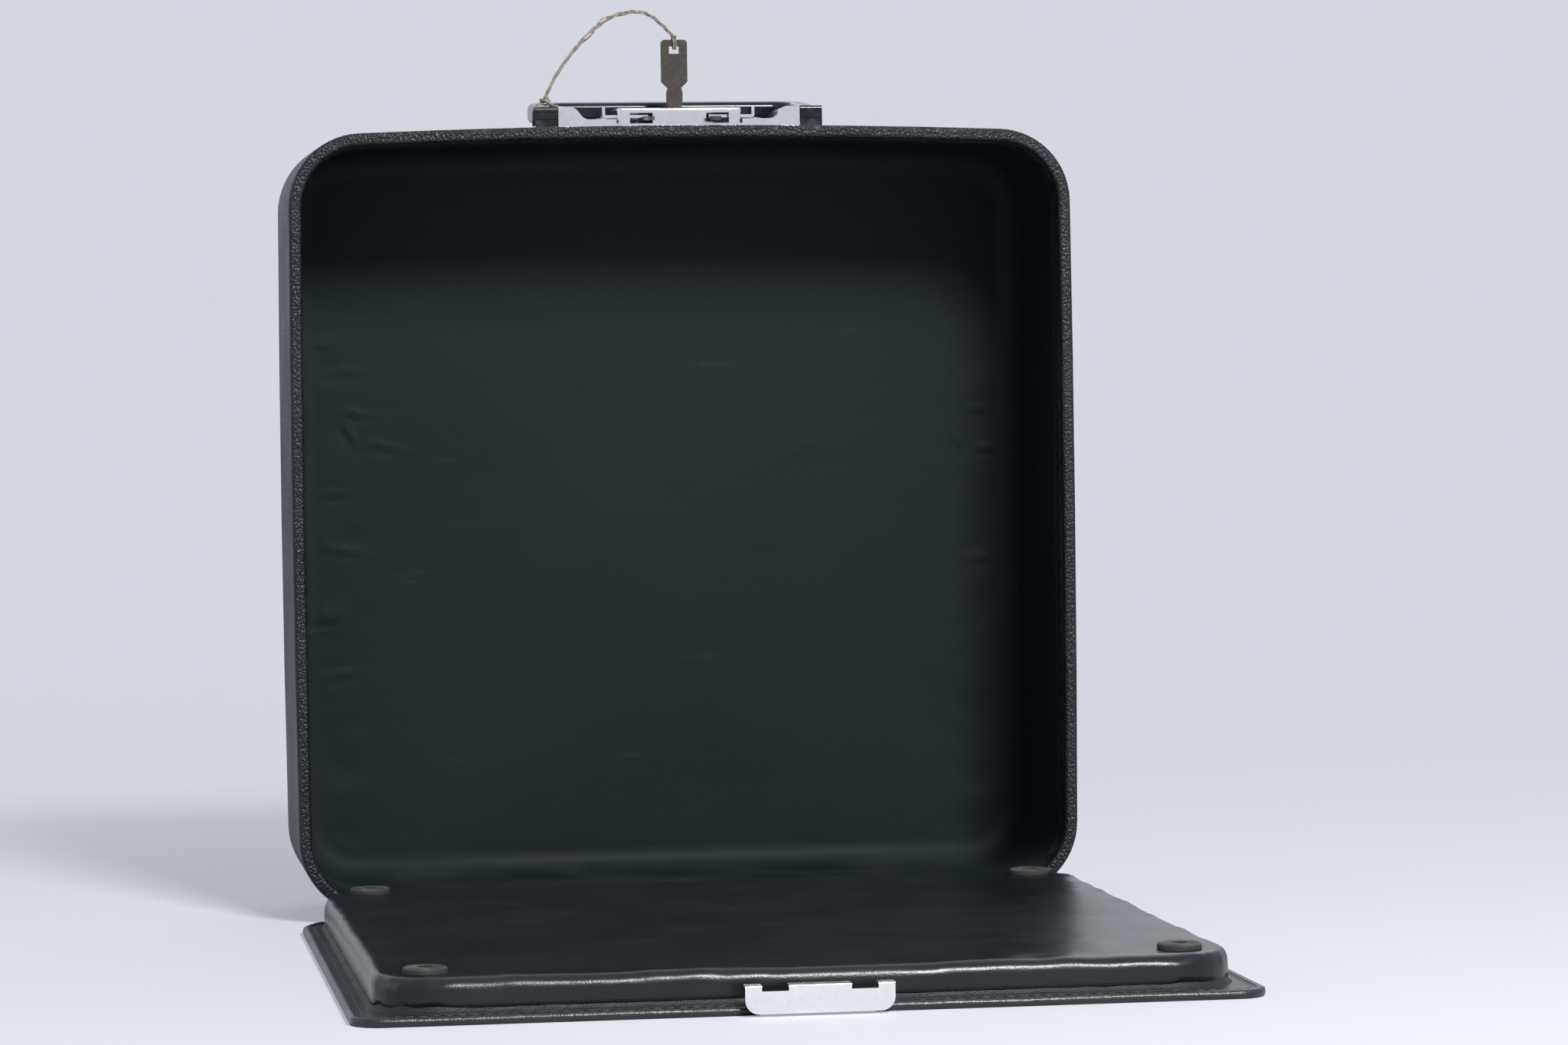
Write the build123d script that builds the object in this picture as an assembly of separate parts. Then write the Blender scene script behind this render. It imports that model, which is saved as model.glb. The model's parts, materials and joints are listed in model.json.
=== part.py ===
from build123d import *
import math
import os

# Portable typewriter case, millimetres, +Z up. The origin is the middle of the base's underside.
# The part rests open: the base lies flat and the lid stands upright on its hinged back wall.

# ---- driving dimensions of the case ----
case_width = 322.0
case_length = 318.0
lid_depth = 98.0

# base: thin flange with a raised deck
flange_thickness = 3.0
flange_cover_thickness = 0.6
flange_side_wrap = 1.0
flange_front_radius = 11.0
flange_rear_radius = 32.0
deck_inset = 8.0
deck_radius = 25.0
deck_core_height = 6.0
deck_padding_height = 5.5
deck_cover_thickness = 1.0
deck_edge_radius = 4.0

# lid: wall layers from the outside in
cover_thickness = 0.8
shell_thickness = 3.2
liner_thickness = 0.8
lid_corner_radius = 30.0
lid_back_radius = 15.0
front_bow = 3.5
side_bow = 1.0
piping_width = 5.0
piping_depth = 4.0
piping_nose = 1.6
piping_radius = 1.5
hem_thickness = 0.6
hem_width = 14.0

# hinges
hinge_setback = 1.0
rim_gap = 0.3
hinge_position = 95.0
hinge_length = 44.0
knuckle_count = 5
knuckle_gap = 0.3
knuckle_radius = 2.2
hinge_pin_radius = 1.1
hinge_bore_clearance = 0.08
leaf_length = 24.0
leaf_thickness = 1.0
leaf_rivet_setback = 14.0
leaf_rivet_spacing = 14.0
hinge_clearance = 0.3

# fasteners
rivet_radius = 1.5
rivet_head_radius = 2.6
rivet_head_height = 0.5

# machine fixing: bolts rise through the base and the pads that the machine stands on
bolt_spacing = 268.0
bolt_hole_radius = 2.75
pad_radius = 8.0
pad_height = 2.2

# studs that the lid stands on
glide_radius = 7.5
glide_edge_radius = 2.0
glide_position = 130.0
glide_from_rim = 14.0
glide_from_back = 24.0
glide_pin_radius = 1.5
glide_pin_depth = 2.5

# striker plate at the front of the base
striker_width = 52.5
striker_reach = 5.4
striker_bottom = 1.0
striker_height = 10.0
striker_sheet = 0.9
striker_corner_radius = 5.0
striker_foot_width = 40.0
striker_foot_length = 13.4
striker_lip_clearance = 0.4
striker_rivet_spacing = 28.0
striker_rivet_setback = 4.5
notch_dip = 1.2

# lock case and latches on the lid's front wall
lock_from_rim = 10.7
lock_width = 51.2
lock_length = 26.0
lock_height = 7.5
lock_sheet = 1.0
lock_corner_radius = 2.0
lock_edge_radius = 0.8
trim_thickness = 1.2
trim_margin = 0.5
claw_centre = 14.3
claw_width = 3.4
claw_thickness = 1.5
claw_height = 2.1
claw_tip_from_rim = 0.7
claw_hook_width = 1.2
claw_hook_length = 2.4
claw_inside = 7.0
claw_clearance = 0.4
release_travel = 4.0
slider_thickness = 1.2
slider_width = 8.0
slider_setback = 3.0
slider_clearance = 0.3
tab_reach = 5.8
tab_height = 8.2
spring_wire_radius = 0.3
spring_radius = 1.2
spring_turns = 5

# cylinder lock and key
lock_axis_setback = 15.0
barrel_radius = 5.5
plug_radius = 3.7
plug_clearance = 0.3
plug_stand = 0.6
key_blade_width = 5.6
key_blade_thickness = 1.8
key_slot_clearance = 0.1
key_visible_length = 28.0
key_bow_width = 10.8
key_bow_height = 17.2
key_neck_width = 6.6
key_hole_width = 4.2
key_hole_height = 3.1
key_hole_from_top = 4.2

# handle
bracket_width = 9.0
bracket_outer_x = 59.0
bracket_height = 8.2
bracket_groove = 0.5
shoulder_height = 8.0
shoulder_start = 37.0
shoulder_end = 45.0
shoulder_low = 3.0
handle_axis_setback = 8.0
handle_axis_height = 4.4
handle_knuckle_radius = 4.0
handle_pin_radius = 1.3
handle_side_clearance = 0.3
handle_bore_clearance = 0.08
tongue_width = 2.6
tongue_clearance = 0.4
grip_length = 41.0
grip_bar = 10.0
grip_thickness = 8.0
grip_corner_radius = 14.0
grip_inner_radius = 6.0
grip_edge_radius = 2.5
grip_tilt = 6.0
grip_start = 4.7
backing_half_length = 58.0
backing_thickness = 1.2

# twine that ties the key to the left end block
twine_radius = 0.8
twine_knot_radius = 2.4
twine_loop_radius = 2.2
twine_loop_wire = 0.6

# ---- places that follow from the sizes ----
hinge_y = case_length / 2 + hinge_setback
hinge_z = flange_thickness
rim_y = hinge_y + rim_gap
lid_back_z = hinge_z + hinge_setback
lid_front_z = lid_back_z + case_length
lid_rear_y = rim_y + lid_depth
shell_inset = cover_thickness + shell_thickness
wall_thickness = shell_inset + liner_thickness
board_top = flange_thickness - flange_cover_thickness
deck_top = flange_thickness + deck_core_height + deck_padding_height + deck_cover_thickness
leaf_low_z = hinge_z - knuckle_radius
lid_leaf_low_z = hinge_z + knuckle_radius - leaf_thickness
lock_front_y = rim_y + lock_from_rim
lock_rear_y = lock_front_y + lock_length
trim_top = lid_front_z + trim_thickness
lock_top = lid_front_z + lock_height
lock_axis_y = lock_front_y + lock_axis_setback
claw_low_z = lid_front_z + claw_height
claw_top_z = claw_low_z + claw_thickness
handle_y = lock_front_y + handle_axis_setback
handle_z = lid_front_z + handle_axis_height
case_front_y = -case_length / 2
shell_inner_z = lid_front_z - shell_inset
key_top = lock_top + plug_stand + key_visible_length
key_hole_z = key_top - key_hole_from_top


# ---- small helpers ----
def box_between(low, high):
    """A box from its lowest to its highest corner."""
    size = [end - start for start, end in zip(low, high)]
    return Pos(*low) * Box(*size, align=(Align.MIN, Align.MIN, Align.MIN))


def rod(radius, start, end):
    """A round bar between two points."""
    run = Vector(*end) - Vector(*start)
    return Solid.make_cylinder(radius, run.length, Plane(origin=start, z_dir=run))


def both_sides(piece):
    """A piece and its mirror image across the middle of the case."""
    return [piece, piece.mirror(Plane.YZ)]


def cut_all(piece, tools):
    """Take every tool away from a piece."""
    for tool in tools:
        piece = piece - tool
    return piece


def upright_profile(profile, y):
    """Stand a profile drawn in x and z at a distance y from the origin."""
    return Plane.XZ.offset(-y) * profile


# ---- base ----
def base_outline(inset, front_radius, rear_radius):
    """The base seen from above, with tighter corners at the front than at the hinge side."""
    outline = Rectangle(case_width - 2 * inset, case_length - 2 * inset)
    outline = fillet(outline.vertices().group_by(Axis.Y)[0], front_radius)
    return fillet(outline.vertices().group_by(Axis.Y)[-1], rear_radius)


def flange_plate(inset, height):
    """A plate of the flange's outline, set in from its edge."""
    return extrude(base_outline(inset, flange_front_radius - inset, flange_rear_radius - inset), height)


def deck_block(inset, low, high, edge_radius):
    """The raised deck's outline between two heights, with a rounded top edge."""
    outline = base_outline(deck_inset + inset, deck_radius - inset, deck_radius - inset)
    block = Pos(0, 0, low) * extrude(outline, high - low)
    if edge_radius:
        block = fillet(block.edges().group_by(Axis.Z)[-1], edge_radius)
    return block


def bolt_places():
    """The four machine bolts."""
    half = bolt_spacing / 2
    return [(x, y) for x in (-half, half) for y in (-half, half)]


def bolt_holes():
    """Straight holes for the machine bolts, through the whole base."""
    return [rod(bolt_hole_radius, (x, y, -1), (x, y, deck_top + 2 * pad_height)) for x, y in bolt_places()]


def leaf_rivet_places():
    """Where the rivets of both hinges stand along x."""
    offsets = (-leaf_rivet_spacing, 0, leaf_rivet_spacing)
    return [side * hinge_position + offset for side in (-1, 1) for offset in offsets]


def hinge_room(side):
    """The round room that a hinge barrel turns in."""
    half = hinge_length / 2 + 2 * hinge_clearance + rivet_head_height
    x = side * hinge_position
    return rod(knuckle_radius + hinge_clearance, (x - half, hinge_y, hinge_z), (x + half, hinge_y, hinge_z))


def base_leaf_pocket(side):
    """The pocket under the base that a leaf is let into."""
    half = hinge_length / 2 + hinge_clearance
    x = side * hinge_position
    low = (x - half, hinge_y - leaf_length - hinge_clearance, -1)
    return box_between(low, (x + half, hinge_y, leaf_low_z + leaf_thickness))


def striker_pocket():
    """The pocket under the front edge for the striker's foot."""
    half = striker_foot_width / 2 + hinge_clearance
    rear = case_front_y - striker_reach + striker_foot_length + hinge_clearance
    return box_between((-half, case_front_y - striker_reach, -1), (half, rear, striker_bottom + striker_sheet))


def base_cuts():
    """Everything that is taken out of the flange."""
    cuts = [striker_pocket()] + bolt_holes()
    for side in (-1, 1):
        cuts += [hinge_room(side), base_leaf_pocket(side)]
    return cuts


def hinge_base_rivets():
    """Rivets from under the base leaves into the board."""
    y = hinge_y - leaf_rivet_setback
    rivets = []
    for x in leaf_rivet_places():
        shank = rod(rivet_radius, (x, y, leaf_low_z), (x, y, board_top))
        head = rod(rivet_head_radius, (x, y, leaf_low_z - rivet_head_height), (x, y, leaf_low_z))
        rivets.append(shank + head)
    return rivets


def striker_rivets():
    """Two rivets that hold the striker's foot to the board."""
    y = case_front_y + striker_rivet_setback
    rivets = []
    for x in (-striker_rivet_spacing / 2, striker_rivet_spacing / 2):
        shank = rod(rivet_radius, (x, y, striker_bottom), (x, y, board_top))
        head = rod(rivet_head_radius, (x, y, striker_bottom - rivet_head_height), (x, y, striker_bottom))
        rivets.append(shank + head)
    return rivets


def base_board():
    """The stiff board that carries the base."""
    board = flange_plate(flange_side_wrap, board_top)
    return cut_all(board, base_cuts() + hinge_base_rivets() + striker_rivets())


def flange_cover():
    """Vinyl over the board's top and edge, turned under at the sides."""
    cover = flange_plate(0, flange_thickness)
    cover = fillet(cover.edges().group_by(Axis.Z)[-1], flange_side_wrap)
    cover = cover - flange_plate(flange_side_wrap, board_top)
    return cut_all(cover, base_cuts())


def deck_core():
    """The board core of the raised deck."""
    low = flange_thickness
    core = deck_block(deck_cover_thickness, low, low + deck_core_height, 0)
    return cut_all(core, bolt_holes())


def deck_padding():
    """Felt between the core and the vinyl, with the deck's soft edge."""
    low = flange_thickness + deck_core_height
    edge = deck_edge_radius - deck_cover_thickness
    padding = deck_block(deck_cover_thickness, low, low + deck_padding_height, edge)
    return cut_all(padding, bolt_holes())


def deck_cover():
    """Vinyl over the deck."""
    inner_top = deck_top - deck_cover_thickness
    outer = deck_block(0, flange_thickness, deck_top, deck_edge_radius)
    inner_edge = deck_edge_radius - deck_cover_thickness
    inner = deck_block(deck_cover_thickness, flange_thickness, inner_top, inner_edge)
    return cut_all(outer - inner, bolt_holes())


def machine_foot_pads():
    """Four rubber rings that the machine's feet stand on."""
    pads = []
    for x, y in bolt_places():
        pad = rod(pad_radius, (x, y, deck_top), (x, y, deck_top + pad_height))
        pad = fillet(pad.edges().group_by(Axis.Z)[-1], pad_height / 2)
        pads.append(pad - rod(bolt_hole_radius, (x, y, deck_top - 1), (x, y, deck_top + 2 * pad_height)))
    return pads


def claw_sweep():
    """The lowest and highest x that a right claw reaches, with clearance."""
    inner = claw_centre - claw_width / 2 - claw_hook_width - claw_clearance
    outer = claw_centre + claw_width / 2 + release_travel + claw_clearance
    return inner, outer


def striker_plate():
    """A folded sheet: a front face, a lip with two notches for the claws, and a foot."""
    front_y = case_front_y - striker_reach
    top = striker_bottom + striker_height
    face = Pos(0, striker_bottom + striker_height / 2) * Rectangle(striker_width, striker_height)
    face = fillet(face.vertices().group_by(Axis.Y)[0], striker_corner_radius)
    face = extrude(upright_profile(face, front_y), amount=striker_sheet, dir=(0, 1, 0))
    half = striker_width / 2
    lip_rear = case_front_y - striker_lip_clearance
    lip = box_between((-half, front_y, top - striker_sheet), (half, lip_rear, top))
    foot_half = striker_foot_width / 2
    foot_rear = front_y + striker_foot_length
    foot_top = striker_bottom + striker_sheet
    foot = box_between((-foot_half, front_y, striker_bottom), (foot_half, foot_rear, foot_top))
    plate = face + lip + foot
    fold = plate.edges().filter_by(Axis.X).group_by(Axis.Z)[-1].sort_by(Axis.Y)[0]
    plate = fillet(fold, striker_sheet * 0.8)
    inner, outer = claw_sweep()
    low = (inner, front_y - 1, top - striker_sheet - notch_dip)
    notch = box_between(low, (outer, lip_rear + 1, top + 1))
    return cut_all(plate, both_sides(notch) + striker_rivets())


# ---- lid ----
def lid_outline(inset):
    """The lid seen from the front: bowed front wall and sides, straight hinge wall."""
    corner_x = case_width / 2 - side_bow - inset
    low_z = lid_back_z + inset
    corner_z = lid_front_z - front_bow - inset
    middle_z = (low_z + corner_z) / 2
    outline = make_face([
        Line((-corner_x, low_z), (corner_x, low_z)),
        ThreePointArc((corner_x, low_z), (corner_x + side_bow, middle_z), (corner_x, corner_z)),
        ThreePointArc((corner_x, corner_z), (0, corner_z + front_bow), (-corner_x, corner_z)),
        ThreePointArc((-corner_x, corner_z), (-corner_x - side_bow, middle_z), (-corner_x, low_z)),
    ])
    return fillet(outline.vertices(), lid_corner_radius - inset)


def lid_block(inset, start_y):
    """The whole lid as a solid, set in from the outside, with a rounded back edge."""
    profile = upright_profile(lid_outline(inset), start_y)
    block = extrude(profile, amount=lid_rear_y - inset - start_y, dir=(0, 1, 0))
    return fillet(block.edges().group_by(Axis.Y)[-1], lid_back_radius - inset)


def lid_ring(outer_inset, inner_inset, start_y, width):
    """A band that follows the lid's outline."""
    band = lid_outline(outer_inset) - lid_outline(inner_inset)
    return extrude(upright_profile(band, start_y), amount=width, dir=(0, 1, 0))


def lid_leaf_pocket(side):
    """The pocket outside the lid's hinge wall that a leaf is let into."""
    half = hinge_length / 2 + hinge_clearance
    x = side * hinge_position
    top = lid_leaf_low_z + leaf_thickness
    high = (x + half, hinge_y + leaf_length + hinge_clearance, top)
    return box_between((x - half, hinge_y, lid_back_z - 1), high)


def hinge_lid_rivets():
    """Rivets from the lid leaves through the hinge wall."""
    y = hinge_y + leaf_rivet_setback
    rivets = []
    for x in leaf_rivet_places():
        shank = rod(rivet_radius, (x, y, lid_leaf_low_z), (x, y, lid_back_z + shell_inset))
        head = rod(rivet_head_radius, (x, y, lid_leaf_low_z - rivet_head_height), (x, y, lid_leaf_low_z))
        rivets.append(shank + head)
    return rivets


def glide_places():
    """The four studs on the lid's hinge wall."""
    rows = (rim_y + glide_from_rim, lid_rear_y - glide_from_back)
    return [(x, y) for x in (-glide_position, glide_position) for y in rows]


def lid_glides():
    """Round studs, as high as the gap under the open lid."""
    glides = []
    for x, y in glide_places():
        glide = rod(glide_radius, (x, y, 0), (x, y, lid_back_z))
        glides.append(fillet(glide.edges().group_by(Axis.Z)[0], glide_edge_radius))
    return [cut_all(glide, glide_pins()) for glide in glides]


def glide_pins():
    """Nails that hold the studs in the board shell."""
    low = lid_back_z - glide_pin_depth
    high = lid_back_z + shell_inset
    return [rod(glide_pin_radius, (x, y, low), (x, y, high)) for x, y in glide_places()]


def trim_rivet_places():
    """Rivets of the trim plate and of the end blocks."""
    x_trim = (lock_width / 2 + shoulder_start) / 2
    x_block = bracket_outer_x - bracket_width / 2
    near = lock_front_y + lock_corner_radius * 2
    far = lock_rear_y - lock_corner_radius * 2
    block = lock_front_y + rivet_radius + bracket_groove
    return [(x_trim, near), (x_trim, far)], [(x_block, block)]


def handle_rivets():
    """Rivets from the handle's metalwork through the front wall into the backing plate."""
    trim_places, block_places = trim_rivet_places()
    rivets = []
    for x, y in trim_places:
        top = lid_front_z + shoulder_low
        shank = rod(rivet_radius, (x, y, shell_inner_z), (x, y, top))
        head = rod(rivet_head_radius, (x, y, top), (x, y, top + rivet_head_height))
        rivets += both_sides(shank + head)
    for x, y in block_places:
        rivets += both_sides(rod(rivet_radius, (x, y, shell_inner_z), (x, y, handle_z)))
    return rivets


def lock_barrel_body():
    """The lock's round body, from the backing plate to the lock case's roof."""
    return rod(barrel_radius, (0, lock_axis_y, shell_inner_z), (0, lock_axis_y, lock_top - lock_sheet))


def lid_cuts():
    """Everything that passes through the lid's walls."""
    cuts = [lock_barrel_body()] + handle_rivets() + hinge_lid_rivets() + glide_pins()
    for side in (-1, 1):
        cuts += [hinge_room(side), lid_leaf_pocket(side)]
    return cuts


def lid_shell_plain():
    """The moulded board shell before anything is cut through it."""
    return lid_block(cover_thickness, rim_y + piping_nose) - lid_block(shell_inset, rim_y)


def lock_backing_plate():
    """A steel plate let into the inside of the front wall behind the lock and handle."""
    low = (-backing_half_length, lock_front_y, shell_inner_z - front_bow)
    high = (backing_half_length, lock_rear_y, shell_inner_z + backing_thickness)
    plate = box_between(low, high) & lid_shell_plain()
    return cut_all(plate, [lock_barrel_body()] + handle_rivets())


def lid_shell():
    """The moulded board shell."""
    low = (-backing_half_length, lock_front_y, shell_inner_z - front_bow)
    high = (backing_half_length, lock_rear_y, shell_inner_z + backing_thickness)
    shell = lid_shell_plain() - box_between(low, high)
    return cut_all(shell, lid_cuts())


def lid_cover():
    """Vinyl leathercloth outside the shell."""
    cover = lid_block(0, rim_y + piping_depth) - lid_block(cover_thickness, rim_y)
    return cut_all(cover, lid_cuts())


def lid_liner():
    """The smooth liner inside the shell."""
    liner = lid_block(shell_inset, rim_y + piping_depth) - lid_block(wall_thickness, rim_y)
    return liner


def rim_piping():
    """The grained roll that closes the rim over the shell's edge."""
    roll = lid_ring(0, piping_width, rim_y, piping_depth)
    roll = fillet(roll.edges().group_by(Axis.Y)[0], piping_radius)
    roll = roll - lid_ring(cover_thickness, shell_inset, rim_y + piping_nose, piping_depth)
    return cut_all(roll, [hinge_room(-1), hinge_room(1), lid_leaf_pocket(-1), lid_leaf_pocket(1)])


def rim_hem():
    """The stitched strip just inside the rim."""
    return lid_ring(wall_thickness, wall_thickness + hem_thickness, rim_y + piping_depth, hem_width)


# ---- hinges ----
def knuckle_spans(first):
    """The x spans of every second knuckle, counted from the hinge's middle."""
    step = hinge_length / knuckle_count
    spans = []
    for index in range(first, knuckle_count, 2):
        start = -hinge_length / 2 + index * step
        spans.append((start + knuckle_gap / 2, start + step - knuckle_gap / 2))
    return spans


def hinge_leaf(side, direction, low_z, first, bore):
    """One leaf with its knuckles; direction is -1 under the base and 1 on the lid."""
    centre = side * hinge_position
    rows = sorted((hinge_y, hinge_y + direction * leaf_length))
    low = (centre - hinge_length / 2, rows[0], low_z)
    leaf = box_between(low, (centre + hinge_length / 2, rows[1], low_z + leaf_thickness))
    for start, end in knuckle_spans(1 - first):
        room_start = (centre + start - knuckle_gap, hinge_y, hinge_z)
        room_end = (centre + end + knuckle_gap, hinge_y, hinge_z)
        leaf = leaf - rod(knuckle_radius + hinge_clearance, room_start, room_end)
    for start, end in knuckle_spans(first):
        leaf = leaf + rod(knuckle_radius, (centre + start, hinge_y, hinge_z), (centre + end, hinge_y, hinge_z))
    half = hinge_length
    leaf = leaf - rod(bore, (centre - half, hinge_y, hinge_z), (centre + half, hinge_y, hinge_z))
    rivets = hinge_base_rivets() if direction < 0 else hinge_lid_rivets()
    return cut_all(leaf, rivets)


def hinge_pin(side):
    """The hinge pin with a small head at each end."""
    centre = side * hinge_position
    half = hinge_length / 2
    pin = rod(hinge_pin_radius, (centre - half, hinge_y, hinge_z), (centre + half, hinge_y, hinge_z))
    for end in (-1, 1):
        start = (centre + end * half, hinge_y, hinge_z)
        stop = (centre + end * (half + rivet_head_height), hinge_y, hinge_z)
        pin = pin + rod(knuckle_radius - hinge_clearance, start, stop)
    return pin


# ---- lock and latches ----
def lock_case():
    """The pressed lock case, open underneath, with windows for the claws and sliders."""
    half = lock_width / 2
    outer = box_between((-half, lock_front_y, trim_top), (half, lock_rear_y, lock_top))
    outer = fillet(outer.edges().filter_by(Axis.Z), lock_corner_radius)
    outer = fillet(outer.edges().group_by(Axis.Z)[-1], lock_edge_radius)
    low = (-half + lock_sheet, lock_front_y + lock_sheet, trim_top - 1)
    inner = box_between(low, (half - lock_sheet, lock_rear_y - lock_sheet, lock_top - lock_sheet))
    claw_inner, claw_outer = claw_sweep()
    low = (claw_inner, lock_front_y - 1, trim_top - 1)
    window = box_between(low, (claw_outer, lock_front_y + 2 * lock_sheet, lock_top - 2 * lock_sheet))
    low = (half - 2 * lock_sheet, slider_front() - slider_clearance, claw_top_z - slider_clearance)
    high = (half + 1, slider_front() + slider_width + slider_clearance,
            claw_top_z + slider_thickness + slider_clearance)
    side_slot = box_between(low, high)
    keyhole = rod(plug_radius + plug_clearance, (0, lock_axis_y, trim_top), (0, lock_axis_y, lock_top + 1))
    return cut_all(outer, [inner, keyhole] + both_sides(window) + both_sides(side_slot))


def slider_front():
    """The y at which the release sliders start."""
    return lock_front_y + slider_setback


def lock_barrel():
    """The fixed body of the cylinder lock."""
    bore_start = (0, lock_axis_y, shell_inner_z + backing_thickness / 2)
    return lock_barrel_body() - rod(plug_radius + plug_clearance, bore_start, (0, lock_axis_y, lock_top))


def lock_plug():
    """The plug that turns with the key, with its keyway."""
    low = shell_inner_z + backing_thickness
    plug = rod(plug_radius, (0, lock_axis_y, low), (0, lock_axis_y, lock_top + plug_stand))
    half_width = key_blade_width / 2 + key_slot_clearance
    half_depth = key_blade_thickness / 2 + key_slot_clearance
    slot_low = (-half_width, lock_axis_y - half_depth, low + lock_sheet)
    return plug - box_between(slot_low, (half_width, lock_axis_y + half_depth, lock_top + 1))


def key():
    """A flat key: a notched blade, a waisted neck and a bow with a square hole."""
    blade_low = shell_inner_z + backing_thickness + lock_sheet + key_slot_clearance
    seat = lock_top + plug_stand
    bow_low = key_top - key_bow_height
    blade_half = key_blade_width / 2
    neck_half = key_neck_width / 2
    bow_half = key_bow_width / 2
    side = [
        (0, blade_low), (blade_half * 0.5, blade_low), (blade_half, blade_low + 2),
        (blade_half, seat + 0.5), (neck_half, seat + 3), (neck_half, bow_low - 4.5),
        (neck_half * 0.85, bow_low - 2.5), (bow_half, bow_low), (bow_half, key_top), (0, key_top),
    ]
    left = [(-x, z) for x, z in reversed(side[1:-1])]
    profile = make_face(Polyline(*side, *left, close=True))
    top_corners = profile.vertices().group_by(Axis.Y)[-1]
    corners = [corner for corner in top_corners if abs(corner.X) > 1]
    profile = fillet(corners, 1.5)
    profile = profile - Pos(0, key_hole_z) * Rectangle(key_hole_width, key_hole_height)
    rear = lock_axis_y - key_blade_thickness / 2
    return extrude(upright_profile(profile, rear), amount=key_blade_thickness, dir=(0, 1, 0))


def claw():
    """The right claw: a flat hook that reaches from the case's window past the striker's lip."""
    tip_y = rim_y + claw_tip_from_rim
    half = claw_width / 2
    low = (claw_centre - half, tip_y, claw_low_z)
    shank = box_between(low, (claw_centre + half, lock_front_y + claw_inside, claw_top_z))
    low = (claw_centre - half - claw_hook_width, tip_y, claw_low_z)
    hook = box_between(low, (claw_centre + half, tip_y + claw_hook_length, claw_top_z))
    hooked = shank + hook
    nose = hooked.edges().filter_by(Axis.Z).group_by(Axis.Y)[0]
    return fillet(nose, claw_hook_width * 0.8)


def release_slider():
    """The right release slider: a flat strip on the claw, turned up outside as a thumb tab."""
    inner = claw_centre - claw_width / 2
    outer = lock_width / 2 + tab_reach
    front = slider_front()
    rear = front + slider_width
    top = claw_top_z + slider_thickness
    strip = box_between((inner, front, claw_top_z), (outer, rear, top))
    tab = box_between((outer - slider_thickness, front, claw_top_z), (outer, rear, lid_front_z + tab_height))
    bent = strip + tab
    fold = bent.edges().filter_by(Axis.Y).group_by(Axis.Z)[0].sort_by(Axis.X)[-1]
    return fillet(fold, slider_thickness)


def claw_spring():
    """The right return spring: a close coil between the barrel and the slider's inner end."""
    start = barrel_radius + spring_wire_radius * 2
    end = claw_centre - claw_width / 2 - spring_wire_radius * 2
    coil = Helix(pitch=(end - start) / spring_turns, height=end - start, radius=spring_radius)
    wire = Plane(origin=coil @ 0, z_dir=coil % 0) * Circle(spring_wire_radius)
    spring = sweep(wire, path=coil, is_frenet=True)
    middle_y = slider_front() + slider_width / 2
    middle_z = claw_top_z + slider_thickness / 2
    return Pos(start, middle_y, middle_z) * (Rot(0, 90, 0) * spring)


# ---- handle ----
def trim_plate():
    """The chrome plate under the handle, with shoulders that rise to the end blocks."""
    inner_x = lock_width / 2 + slider_clearance
    outer_x = bracket_outer_x - bracket_width - slider_clearance
    base_z = lid_front_z - front_bow
    low = (-outer_x, lock_front_y - trim_margin, base_z)
    plate = box_between(low, (outer_x, lock_rear_y + trim_margin, trim_top))
    high_z = lid_front_z + shoulder_height
    low_z = lid_front_z + shoulder_low
    side = make_face([
        Line((inner_x, base_z), (outer_x, base_z)),
        Line((outer_x, base_z), (outer_x, high_z)),
        Line((outer_x, high_z), (shoulder_end, high_z)),
        Spline((shoulder_end, high_z), (shoulder_start, low_z), tangents=[(-1, 0), (-1, 0)]),
        Line((shoulder_start, low_z), (inner_x, low_z)),
        Line((inner_x, low_z), (inner_x, base_z)),
    ])
    shoulder = extrude(upright_profile(side, lock_front_y), amount=lock_length, dir=(0, 1, 0))
    for half in both_sides(shoulder):
        plate = plate + half
    return cut_all(plate, [lid_block(0, rim_y), lock_barrel_body()] + handle_rivets())


def handle_bracket():
    """The right end block: a clevis that holds the handle's tongue on its pin."""
    inner_x = bracket_outer_x - bracket_width
    base_z = lid_front_z - front_bow
    top = lid_front_z + bracket_height
    front = box_between((inner_x, lock_front_y, base_z), (bracket_outer_x, handle_y, top))
    rear_y = handle_y + handle_knuckle_radius
    foot = box_between((inner_x, lock_front_y, base_z), (bracket_outer_x, rear_y, handle_z))
    eye = rod(handle_knuckle_radius, (inner_x, handle_y, handle_z), (bracket_outer_x, handle_y, handle_z))
    block = front + foot + eye
    block = fillet(block.edges().filter_by(Axis.X).group_by(Axis.Z)[-1].sort_by(Axis.Y)[0], 1.2)
    for level in (0.35, 0.7):
        z = lid_front_z + bracket_height * level
        low = (inner_x - 1, lock_front_y - 1, z)
        high = (bracket_outer_x + 1, lock_front_y + bracket_groove, z + bracket_groove)
        block = block - box_between(low, high)
    middle = bracket_outer_x - bracket_width / 2
    half = tongue_width / 2 + tongue_clearance
    slot_front = handle_y - handle_knuckle_radius - tongue_clearance
    slot = box_between((middle - half, slot_front, lid_front_z + tongue_clearance),
                       (middle + half, rear_y + 1, top + 1))
    return cut_all(block, [slot, lid_block(0, rim_y)] + handle_pins() + handle_rivets())


def handle_pins():
    """Short pins through the end blocks."""
    inner = bracket_outer_x - bracket_width + handle_side_clearance
    outer = bracket_outer_x - handle_side_clearance
    return both_sides(rod(handle_pin_radius, (inner, handle_y, handle_z), (outer, handle_y, handle_z)))


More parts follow.
